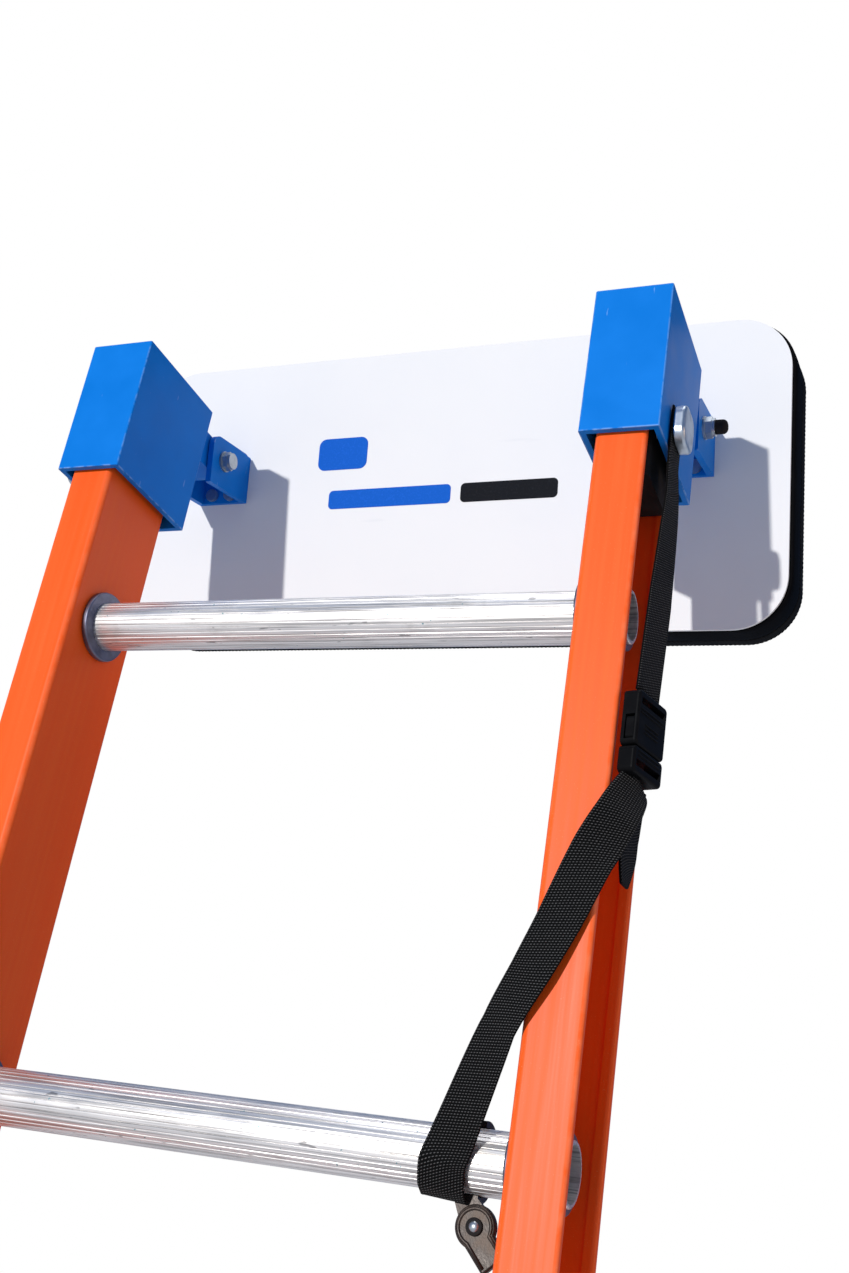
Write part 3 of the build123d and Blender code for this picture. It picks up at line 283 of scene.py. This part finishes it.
def metal(name, colour, dark, stretch, rough=(0.26, 0.44), metallic=1.0):
    """Plain metal: grain along the direction that stretch squeezes, and stained patches."""
    look = Finish(name, colour, metallic=metallic)
    grain = look.noise(1100, 3, stretch)
    stains = look.noise(110, 5)
    look.paint(look.ramp(stains, 0.46, 0.74, 0.0, 0.55), dark)
    look.paint(look.ramp(grain, 0.60, 0.72, 0.0, 0.35), dark)
    look.roughness(stains, *rough)
    look.bump(grain, 0.12, 0.0005)
    return look.done()


def bronze_coat():
    """Dark bronze coated steel, rubbed to a paler brown in patches."""
    look = Finish("bronze_steel", (0.030, 0.022, 0.018), metallic=0.5)
    rubs = look.noise(130, 6)
    pits = look.noise(900, 3)
    look.paint(look.ramp(rubs, 0.50, 0.70, 0.0, 0.8), (0.085, 0.060, 0.045))
    look.paint(look.ramp(pits, 0.64, 0.74, 0.0, 0.5), (0.015, 0.012, 0.011))
    look.roughness(rubs, 0.30, 0.52)
    look.bump(pits, 0.22, 0.0005)
    return look.done()


def decal_ink(name, colour):
    """Printed ink, slightly uneven in density."""
    look = Finish(name, colour, specular=0.02)
    patches = look.noise(700, 4)
    paler = tuple(min(1.0, value * 1.3 + 0.01) for value in colour)
    look.paint(look.ramp(patches, 0.50, 0.75, 0.0, 0.5), paler)
    look.roughness(patches, 0.60, 0.75)
    look.bump(patches, 0.05, 0.0003)
    return look.done()


def floor_paper():
    """Pale matt paper with a faint mottling."""
    look = Finish("floor_paper", (1.0, 0.94, 0.85), specular=0.0)
    clouds = look.noise(1.5, 3)
    look.paint(look.ramp(clouds, 0.4, 0.7, 0.0, 0.4), (0.97, 0.915, 0.83))
    look.roughness(clouds, 0.85, 0.95)
    return look.done()


LOOKS = {
    "rung_aluminium": rung_metal(),
    "collar_aluminium": metal(
        "collar_metal", (0.18, 0.185, 0.25), (0.07, 0.066, 0.092), (1, 1, 1), (0.34, 0.5), 0.85),
    "guide_aluminium": metal("guide_metal", (0.62, 0.63, 0.65), (0.30, 0.30, 0.31), (1, 1, 0.03)),
    "zinc_steel": metal(
        "zinc_metal", (0.44, 0.48, 0.51), (0.16, 0.19, 0.20), (1, 1, 0.3), (0.30, 0.46), 0.9),
    "knob_metal": metal("knob_metal", (0.62, 0.68, 0.74), (0.30, 0.34, 0.39), (1, 0.1, 1)),
    "shoe_metal": metal("shoe_metal", (0.55, 0.56, 0.57), (0.22, 0.22, 0.22), (1, 1, 1), (0.4, 0.6)),
    "board_white": board_sheet(),
    "foam_black": rubber("foam_black", (0.0020, 0.0020, 0.0025), (0.007, 0.007, 0.008), 1600, 0.3),
    "ribbed_rubber": rubber("ribbed_rubber", (0.008, 0.008, 0.0085), (0.030, 0.030, 0.031), 900, 0.4),
    "block_rubber": rubber("block_rubber", (0.020, 0.018, 0.018), (0.060, 0.055, 0.052), 900, 0.3),
    "tread_rubber": rubber("tread_rubber", (0.020, 0.020, 0.021), (0.075, 0.073, 0.070), 700, 0.4),
    "webbing": webbing_weave(),
    "buckle_plastic": moulded("buckle_plastic", (0.0035, 0.0035, 0.004), (0.010, 0.011, 0.012)),
    "pulley_plastic": moulded("pulley_plastic", (0.030, 0.030, 0.033), (0.080, 0.080, 0.085)),
    "bronze_steel": bronze_coat(),
}
# nodes whose pale edges follow their own box: worn on the rails, rubbed and a painted highlight on the
# blue parts
BY_NODE = {
    "fly_rail_left": fibreglass("fly_rail_right"),
    "base_rail_left": fibreglass("base_rail_right"),
    "cap_left": cap_paint("cap_right"),
    "pad_bracket_left": cap_paint("pad_bracket_right"),
    "cap_tongues": cap_paint("cap_tongues"),
}
for stem in ("fly_rail", "base_rail", "cap", "pad_bracket"):
    BY_NODE[f"{stem}_right"] = BY_NODE[f"{stem}_left"]
for row in frame["record"]["subparts"]:
    materials = NODES[row["node"]].data.materials
    materials.clear()
    materials.append(BY_NODE.get(row["node"]) or LOOKS[row["material_slot"]])


# ---- making pieces ---------------------------------------------------------------------------
def piece(name, points, faces, body, slot, replaced=(), smooth=False):
    """A mesh object that rides on a CAD body and is finished as one of the record's slots."""
    data = bpy.data.meshes.new(name)
    data.from_pydata([tuple(p) for p in points], [], faces)
    shaped = bmesh.new()
    shaped.from_mesh(data)
    bmesh.ops.recalc_face_normals(shaped, faces=shaped.faces)
    shaped.to_mesh(data)
    shaped.free()
    for polygon in data.polygons:
        polygon.use_smooth = smooth
    made = bpy.data.objects.new(name, data)
    bpy.context.scene.collection.objects.link(made)
    data.materials.append(LOOKS[slot])
    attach(made, body)
    if replaced:
        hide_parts(*replaced)
    return made


def rings_to_faces(rings, count, close_ends=False):
    """Quads between rings of count points each, with a flat face on each end if asked for."""
    faces = []
    for ring in range(rings - 1):
        for step in range(count):
            after = (step + 1) % count
            a, b = ring * count, (ring + 1) * count
            faces.append((a + step, a + after, b + after, b + step))
    if close_ends:
        faces.append(tuple(range(count)))
        faces.append(tuple(range((rings - 1) * count, rings * count)))
    return faces


RUNGS, RUNG_PITCH = 8, 0.3048
RUNG_BORE_R, RUNG_EDGE = 0.01393, 0.0006
FLUTES = 34
# one flute, as (share of its pitch, depth)
FLUTE_SHAPE = ((0.00, 0.00032), (0.10, 0.00004), (0.28, 0.0), (0.72, 0.0), (0.90, 0.00004))


def fluted_rung(name, low, high, body, replaced):
    """Hollow tube with fine lengthwise flutes outside, a plain bore and eased ends."""
    centre, radius = (low + high) / 2, (high.z - low.z) / 2
    plan = [((flute + part) / FLUTES * 2 * math.pi, radius - deep)
            for flute in range(FLUTES) for part, deep in FLUTE_SHAPE]
    # x, radius where it isn't the fluted outside, and how far the outside is eased in
    stations = (
        (low.x, RUNG_BORE_R, 0.0), (low.x, None, RUNG_EDGE), (low.x + RUNG_EDGE, None, 0.0),
        (high.x - RUNG_EDGE, None, 0.0), (high.x, None, RUNG_EDGE), (high.x, RUNG_BORE_R, 0.0),
    )
    points = []
    for x, plain, eased_in in stations:
        for angle, fluted in plan:
            reach = plain or fluted - eased_in
            points.append((x, centre.y + reach * math.cos(angle), centre.z + reach * math.sin(angle)))
    count = len(plan)
    faces = rings_to_faces(len(stations), count)
    last = (len(stations) - 1) * count
    for step in range(count):
        after = (step + 1) % count
        faces.append((step, after, last + after, last + step))
    piece(name, points, faces, body, "rung_aluminium", replaced)


def fluted_rungs():
    """Both sections' rungs: the fly's one for one, and the base's in place of its single node."""
    for number in range(1, RUNGS + 1):
        node = f"fly_rung_{number}"
        fluted_rung(f"fluted_rung_{number}", *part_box(node), "fly", [node])
    fly_low, fly_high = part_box("fly_rung_1")
    diameter = fly_high.z - fly_low.z
    low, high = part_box("base_rungs")
    for number in range(RUNGS):
        start = low + Vector((0, 0, RUNG_PITCH * number))
        end = Vector((high.x, high.y, start.z + diameter))
        fluted_rung(f"base_fluted_rung_{number + 1}", start, end, "base", ["base_rungs"])


fluted_rungs()


# ---- wall pad --------------------------------------------------------------------------------
PAD_W, PAD_H, PAD_CORNER = 0.525, 0.226, 0.038
FOAM_STEP, RUBBER_STEP = 0.004, 0.0008
RIB_POINTS, RIB_DEPTH = 4, 0.0002


def pad_outline(step):
    """Points round the pad's rounded rectangle, step apart, with the outward direction at each."""
    corners = []
    wide, tall = PAD_W / 2 - PAD_CORNER, PAD_H / 2 - PAD_CORNER
    for x, y, start in ((wide, tall, 0), (-wide, tall, 90), (-wide, -tall, 180), (wide, -tall, 270)):
        count = round(math.pi / 2 * PAD_CORNER / step)
        for part in range(count + 1):
            angle = math.radians(start + 90 * part / count)
            outward = Vector((math.cos(angle), math.sin(angle)))
            corners.append((Vector((x, y)) + outward * PAD_CORNER, outward))
    points = []
    for index, (here, outward) in enumerate(corners):
        there, _ = corners[(index + 1) % len(corners)]
        points.append((here, outward))
        run = (there - here).length
        if run > 2 * step:
            count = round(run / step)
            points += [(here.lerp(there, part / count), outward) for part in range(1, count)]
    return points


def on_pad(x, up, back):
    """A point on the wall pad: across, up its face, and behind its front face."""
    centre = PAD_FRONT + PAD_UP * up + PAD_OUT * back
    return Vector((centre.x + x, centre.y, centre.z))


def pad_layer(name, profile, step, slot, node, rib=0.0):
    """One layer of the pad: a profile of (back, pulled in) round its outline, with ribs rib deep."""
    outline = pad_outline(step)
    points = []
    for back, pulled in profile:
        for index, (spot, outward) in enumerate(outline):
            groove = rib if index % RIB_POINTS >= RIB_POINTS / 2 else 0.0
            spot = spot - outward * (pulled + groove)
            points.append(on_pad(spot.x, spot.y, back))
    return piece(name, points, rings_to_faces(len(profile), len(outline), True), "pad", slot, [node])


# each profile's (distance behind the board's front, pulled in from the outline)
FOAM_PROFILE = ((0.0032, 0.0012), (0.0044, 0.0004), (0.012, 0.0001), (0.020, 0.0), (0.028, 0.0001),
                (0.0346, 0.0004), (0.0358, 0.0010))
foam = pad_layer("foam_core", FOAM_PROFILE, FOAM_STEP, "foam_black", "pad_foam")
for polygon in foam.data.polygons:
    polygon.use_smooth = len(polygon.vertices) == 4

RUBBER_PROFILE = ((0.0362, 0.0004), (0.0380, 0.0), (0.0500, 0.0), (0.0518, 0.0010))
rubber_face = pad_layer(
    "ribbed_face", RUBBER_PROFILE, RUBBER_STEP, "ribbed_rubber", "pad_rubber", RIB_DEPTH)


TREAD_RIBS, TREAD_MARGIN, TREAD_SIDE_GAP = 40, 0.012, 0.004
# a tread rib's section, as (up, distance behind the board's front)
TREAD_SHAPE = ((-0.0016, 0.0505), (-0.0009, PAD_T), (0.0009, PAD_T), (0.0016, 0.0505))


def tread_ribs():
    """Low ribs across the rubber's rear face, so that it grips a wall."""
    points, faces = [], []
    for number in range(TREAD_RIBS):
        up = (number - (TREAD_RIBS - 1) / 2) * (PAD_H - TREAD_MARGIN) / TREAD_RIBS
        into_corner = max(0.0, abs(up) - (PAD_H / 2 - PAD_CORNER))
        rounding = math.sqrt(max(0.0, PAD_CORNER**2 - into_corner**2))
        wide = PAD_W / 2 - TREAD_SIDE_GAP - PAD_CORNER + rounding
        base = len(points)
        for x in (-wide, wide):
            for rise, back in TREAD_SHAPE:
                points.append(on_pad(x, up + rise, back))
        faces += [(base, base + 1, base + 5, base + 4), (base + 1, base + 2, base + 6, base + 5),
                  (base + 2, base + 3, base + 7, base + 6), (base + 3, base, base + 4, base + 7),
                  (base, base + 1, base + 2, base + 3), (base + 4, base + 5, base + 6, base + 7)]
    return piece("rubber_ribs", points, faces, "pad", "ribbed_rubber")


tread_ribs()


INK_FRONT, INK_BACK = -0.00025, 0.0001
INK_CORNER_STEPS = 6


def printed_shape(name, across, up, round_r, look):
    """A thin rounded bar of plain ink on the board, across and up given as (from, to)."""
    points = []
    middle_x, middle_up = sum(across) / 2, sum(up) / 2
    half_x, half_up = (across[1] - across[0]) / 2 - round_r, (up[1] - up[0]) / 2 - round_r
    for back in (INK_FRONT, INK_BACK):
        for sx, sy, start in ((1, 1, 0), (-1, 1, 90), (-1, -1, 180), (1, -1, 270)):
            for part in range(INK_CORNER_STEPS + 1):
                angle = math.radians(start + 90 * part / INK_CORNER_STEPS)
                x = middle_x + sx * half_x + round_r * math.cos(angle)
                y = middle_up + sy * half_up + round_r * math.sin(angle)
                points.append(on_pad(x, y, back))
    faces = rings_to_faces(2, 4 * (INK_CORNER_STEPS + 1), True)
    piece(name, points, faces, "pad", "board_white").data.materials[0] = look


INK_BLUE = decal_ink("ink_blue", (0.010, 0.110, 0.52))
INK_DARK = decal_ink("ink_dark", (0.012, 0.013, 0.016))
printed_shape("print_block", (-0.104, -0.062), (0.020, 0.046), 0.006, INK_BLUE)
printed_shape("print_bar_long", (-0.092, 0.010), (-0.012, 0.003), 0.0035, INK_BLUE)
printed_shape("print_bar_short", (0.018, 0.094), (-0.012, 0.003), 0.0035, INK_DARK)


# ---- strap -----------------------------------------------------------------------------------
def from_rung(x, y, z):
    """A point in millimetres from the top rung's middle, as a place in the frame."""
    return Vector((x / 1000, FLY_Y + y / 1000, TOP_RUNG.z + z / 1000))


YAW = math.radians(15)
ACROSS = (math.sin(YAW), math.cos(YAW), 0)
# the strap's runs, as (place from the top rung's middle in mm, direction across the webbing)
UPPER_RUN = (
    ((212.4, -8, 131), (0, 1, 0)), ((212.4, -8, 98), (0, 1, 0)), ((213, -4, 70), (0.08, 1, 0)),
    ((213.8, -12, 5), ACROSS), ((213.8, -20, -60.2), ACROSS),
)
LOWER_RUN = (
    ((213.8, -20, -107.8), ACROSS), ((208.2, -34.6, -131), (18.5, 18, 2)),
    ((197.4, -39.2, -157), (0.95, 0.1, -0.3)), ((184.5, -39.2, -190), (0.93, -0.1, -0.36)),
    ((174, -39.4, -214), (0.9, -0.25, -0.3)), ((159, -34.8, -243), (0.86, -0.42, -0.28)),
    ((137.5, -19.5, -296), (0.94, -0.05, -0.3)), ((133, -18.2, -309), (1, 0, -0.12)),
    ((132, -12.5, -320), (1, 0, -0.1)), ((132, -6.4, -324.2), (1, 0, -0.1)),
)
TAIL_RUN = (
    ((210.2, -14, -108.5), ACROSS), ((210.4, -15, -136), (0.1, 1, 0)),
    ((210.6, -17, -151), (0.1, 1, 0)), ((210.6, -17.5, -164), (0.1, 1, 0)),
)
WEBBING_WIDTH, WEBBING_T = 0.0254, 0.0018
RUN_STEPS, RUN_PULL = 8, 0.35
TAIL_TIP, TIP_NARROWING = 0.022, 0.62
# across the webbing: half width share and half thickness share, round its selvedges
SECTION = ((-1.0, 0.15), (-0.97, 0.62), (-0.90, 0.95), (-0.80, 0.80), (-0.4, 0.86), (0.0, 0.88),
           (0.4, 0.86), (0.80, 0.80), (0.90, 0.95), (0.97, 0.62), (1.0, 0.15))


def eased(a, b, c, d, t):
    """Point between b and c, share t along a smooth curve that passes a, b, c and d."""
    start, end = (c - a) * RUN_PULL, (d - b) * RUN_PULL
    return (b * (2 * t**3 - 3 * t**2 + 1) + start * (t**3 - 2 * t**2 + t)
            + c * (3 * t**2 - 2 * t**3) + end * (t**3 - t**2))


def webbing_path(run):
    """Closely spaced (place, direction across) pairs along a run."""
    spots = [from_rung(*place) for place, _ in run]
    turns = [Vector(across).normalized() for _, across in run]
    path = []
    for index in range(len(spots) - 1):
        before, after = max(index - 1, 0), min(index + 2, len(spots) - 1)
        near = [spots[pick] for pick in (before, index, index + 1, after)]
        for part in range(RUN_STEPS):
            share = part / RUN_STEPS
            across = turns[index].lerp(turns[index + 1], share).normalized()
            path.append((eased(*near, share), across))
    path.append((spots[-1], turns[-1]))
    return path


def webbing_run(name, run, node, tip=None):
    """A woven strip along a run, laid out flat in its UV map for the weave, narrowed over a tip."""
    path = webbing_path(run)
    length = sum((path[i + 1][0] - path[i][0]).length for i in range(len(path) - 1))
    points, layout, gone = [], [], 0.0
    loop = list(SECTION) + [(w, -t) for w, t in reversed(SECTION)]
    for index, (spot, across) in enumerate(path):
        ahead = path[min(index + 1, len(path) - 1)][0] - path[max(index - 1, 0)][0]
        ahead.normalize()
        across = (across - ahead * across.dot(ahead)).normalized()
        face = across.cross(ahead)
        if index:
            gone += (spot - path[index - 1][0]).length
        left = max(0.0, 1 - (length - gone) / tip) if tip else 0.0
        half = WEBBING_WIDTH / 2 * (1 - TIP_NARROWING * left**2)
        for w, t in loop:
            points.append(spot + across * (half * w) + face * (WEBBING_T / 2 * t))
            layout.append((w / 2 + 0.5, gone))
    faces = rings_to_faces(len(path), len(loop), True)
    made = piece(name, points, faces, "fly", "webbing", [node], True)
    map_of = made.data.uv_layers.new(name="weave")
    for corner in made.data.loops:
        map_of.data[corner.index].uv = layout[corner.vertex_index]


webbing_run("webbing_upper", UPPER_RUN, "strap_upper")
webbing_run("webbing_lower", LOWER_RUN, "strap_lower")
webbing_run("webbing_tail", TAIL_RUN, "strap_tail", TAIL_TIP)


# ---- rung hook detail ------------------------------------------------------------------------
TURNED_STEPS = 32


def turned(name, centre, profile, body, slot, replaced=()):
    """A turned piece on an axis along Y, from a profile of (y, radius) that is closed at its ends."""
    points = []
    for y, radius in profile:
        for step in range(TURNED_STEPS):
            angle = 2 * math.pi * step / TURNED_STEPS
            points.append(centre + Vector((radius * math.cos(angle), y, radius * math.sin(angle))))
    faces = rings_to_faces(len(profile), TURNED_STEPS, True)
    piece(name, points, faces, body, slot, replaced, True)


RIVET_LOW, RIVET_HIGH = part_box("hook_rivet")
RIVET_FRONT = middle("hook_rivet")
RIVET_FRONT.y = RIVET_LOW.y
RIVET_LONG = RIVET_HIGH.y - RIVET_LOW.y
RING_R, SHANK_R, DOME_R, CENTRE_R = 0.0043, 0.0029, 0.0027, 0.0002
# a black ring round the rivet head, standing in for painted shade in the pawl's hole
HOLE_SHADE_PROFILE = (
    (0.0012, CENTRE_R), (0.0012, DOME_R), (0.0010, RING_R - 0.0004), (0.0013, RING_R),
    (0.0019, RING_R), (0.0019, CENTRE_R),
)
SHANK_PROFILE = (
    (0.0000, CENTRE_R), (0.0001, 0.0009), (0.0004, 0.0018), (0.0009, 0.0025), (0.0014, DOME_R),
    (0.0021, SHANK_R), (RIVET_LONG - 0.0021, SHANK_R), (RIVET_LONG - 0.0020, RING_R),
    (RIVET_LONG - 0.0008, RING_R), (RIVET_LONG, 0.0030), (RIVET_LONG, CENTRE_R),
)
# painted shade: a black ring darkens the hole round the rivet
turned("rivet_hole_shade", RIVET_FRONT, HOLE_SHADE_PROFILE, "fly", "block_rubber")
turned("rivet_shank", RIVET_FRONT, SHANK_PROFILE, "fly", "zinc_steel", ["hook_rivet"])


# the latch's head radius, its arm's length and sides from the head's middle, and the arm's angle
LATCH_HEAD_R, LATCH_ARM, LATCH_SIDES = 0.0105, 0.020, (-0.0095, 0.0055)
LATCH_TURN = math.radians(-47)
RIM_IN, RIM_HALF, RIM_RISE, RIM_STEPS = 0.0020, 0.0011, 0.0008, 24
# the rim's section, as shares of its half width and its rise
RIM_SHAPE = ((-1.0, -0.4), (-0.7, 0.7), (0.0, 1.0), (0.7, 0.7), (1.0, -0.4))


def latch_rim():
    """Turned-up rim round the latch's head and down both sides of its arm."""
    reach, end = LATCH_HEAD_R - RIM_IN, LATCH_ARM - RIM_IN
    lower, upper = (side - math.copysign(RIM_IN, side) for side in LATCH_SIDES)
    start, stop = math.asin(upper / reach), 2 * math.pi + math.asin(lower / reach)
    route = [Vector((end, upper))]
    for part in range(RIM_STEPS + 1):
        angle = start + (stop - start) * part / RIM_STEPS
        route.append(Vector((math.cos(angle), math.sin(angle))) * reach)
    route.append(Vector((end, lower)))
    along = Vector((math.cos(LATCH_TURN), 0, math.sin(LATCH_TURN)))
    aside = Vector((-along.z, 0, along.x))
    face = Vector((RIVET_FRONT.x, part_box("hook_latch")[0].y, RIVET_FRONT.z))
    points = []
    for index, spot in enumerate(route):
        run = route[min(index + 1, len(route) - 1)] - route[max(index - 1, 0)]
        sideways = Vector((run.y, -run.x)).normalized() * RIM_HALF
        for out, rise in RIM_SHAPE:
            place = spot + sideways * out
            points.append(face + along * place.x + aside * place.y - Vector((0, RIM_RISE * rise, 0)))
    faces = rings_to_faces(len(route), len(RIM_SHAPE), True)
    piece("latch_rim", points, faces, "hook_latch", "bronze_steel", smooth=True)


latch_rim()


# ---- buckle detail ---------------------------------------------------------------------------
BUCKLE_MID = from_rung(213.8, -20, -84)
BUCKLE_ACROSS, BUCKLE_FACE = Vector(ACROSS), Vector((math.cos(YAW), -math.sin(YAW), 0))
BUCKLE_HALF_T = 0.0048
# a grip rib's section, as (up, out of the buckle's face)
GRIP_SHAPE = ((-0.0007, -0.0003), (-0.0004, 0.0004), (0.0, 0.0006), (0.0004, 0.0004), (0.0007, -0.0003))


def on_buckle(across, up, out):
    """A point on the buckle: across its face, up, and out from its middle plane."""
    spot = BUCKLE_MID + BUCKLE_ACROSS * across + BUCKLE_FACE * out
    return spot + Vector((0, 0, up))


def grip_ribs(name, rows, half):
    """Low rounded ribs across both faces of the buckle, at heights from its middle."""
    points, faces = [], []
    count = len(GRIP_SHAPE)
    for side in (-1, 1):
        for up in rows:
            base = len(points)
            for across in (-half, half):
                for rise, out in GRIP_SHAPE:
                    points.append(on_buckle(across, up + rise, side * (BUCKLE_HALF_T + out)))
            for step in range(count):
                after = (step + 1) % count
                faces.append((base + step, base + after, base + count + after, base + count + step))
            faces.append(tuple(range(base, base + count)))
            faces.append(tuple(range(base + count, base + 2 * count)))
    piece(name, points, faces, "fly", "buckle_plastic")


grip_ribs("grip_ribs_upper", (0.0108, 0.0128), 0.0125)
grip_ribs("grip_ribs_middle", (0.0008, 0.0030, 0.0052), 0.0070)
grip_ribs("grip_ribs_lower", (-0.0108, -0.0130), 0.0110)


# ---- floor, light and camera -----------------------------------------------------------------
FLOOR_HALF = 30


def make_floor():
    """A wide pale floor under the ladder's feet."""
    data = bpy.data.meshes.new("floor")
    shaped = bmesh.new()
    bmesh.ops.create_grid(shaped, x_segments=8, y_segments=8, size=FLOOR_HALF)
    shaped.to_mesh(data)
    shaped.free()
    made = bpy.data.objects.new("floor", data)
    bpy.context.scene.collection.objects.link(made)
    data.materials.append(floor_paper())


def make_sun(name, travels, strength, softness, colour):
    """A sun whose light travels in a direction, with its softness as an angle in degrees."""
    data = bpy.data.lights.new(name, "SUN")
    data.energy, data.angle, data.color = strength, math.radians(softness), colour
    made = bpy.data.objects.new(name, data)
    made.rotation_mode = "QUATERNION"
    made.rotation_quaternion = Vector(travels).to_track_quat("-Z", "Y")
    bpy.context.scene.collection.objects.link(made)


def make_world():
    """White behind the object, and a dim blue fill on it."""
    world = bpy.data.worlds.new("studio")
    bpy.context.scene.world = world
    world.use_nodes = True
    tree = world.node_tree
    tree.nodes.clear()
    seen, fill = (tree.nodes.new("ShaderNodeBackground") for _ in range(2))
    seen.inputs["Color"].default_value = (1, 1, 1, 1)
    fill.inputs["Color"].default_value = (0.27, 0.50, 1.0, 1)
    fill.inputs["Strength"].default_value = 0.29
    path = tree.nodes.new("ShaderNodeLightPath")
    mix = tree.nodes.new("ShaderNodeMixShader")
    out = tree.nodes.new("ShaderNodeOutputWorld")
    tree.links.new(path.outputs["Is Camera Ray"], mix.inputs[0])
    tree.links.new(fill.outputs[0], mix.inputs[1])
    tree.links.new(seen.outputs[0], mix.inputs[2])
    tree.links.new(mix.outputs[0], out.inputs[0])


# fitted to the photograph's rungs, rails and caps: millimetres, with the place from the top rung
LENS, SENSOR = 39.777, 36.0
CAMERA_PLACE = (394.865, -711.026, -357.413)
CAMERA_TURN = (114.2017, -8.8654, 20.7815)


def make_camera():
    """The photograph's viewpoint: to the right of the ladder and below its top, looking up."""
    data = bpy.data.cameras.new("camera")
    data.lens, data.sensor_width, data.sensor_fit = LENS, SENSOR, "AUTO"
    made = bpy.data.objects.new("camera", data)
    made.location = from_rung(*CAMERA_PLACE)
    made.rotation_euler = [math.radians(turn) for turn in CAMERA_TURN]
    bpy.context.scene.collection.objects.link(made)
    bpy.context.scene.camera = made


make_floor()
make_sun("key", (0.20, 0.972, -0.10), 2.80, 1.2, (1.0, 0.985, 0.96))
make_sun("side_fill", (-0.98, -0.08, -0.10), 0.52, 25.0, (1.0, 0.64, 0.36))
make_sun("top_soft", (0.05, 0.12, -1.0), 1.05, 50.0, (1.0, 1.0, 1.0))
make_world()
make_camera()
bpy.context.scene.view_settings.view_transform = "Standard"

bpy.context.view_layer.update()
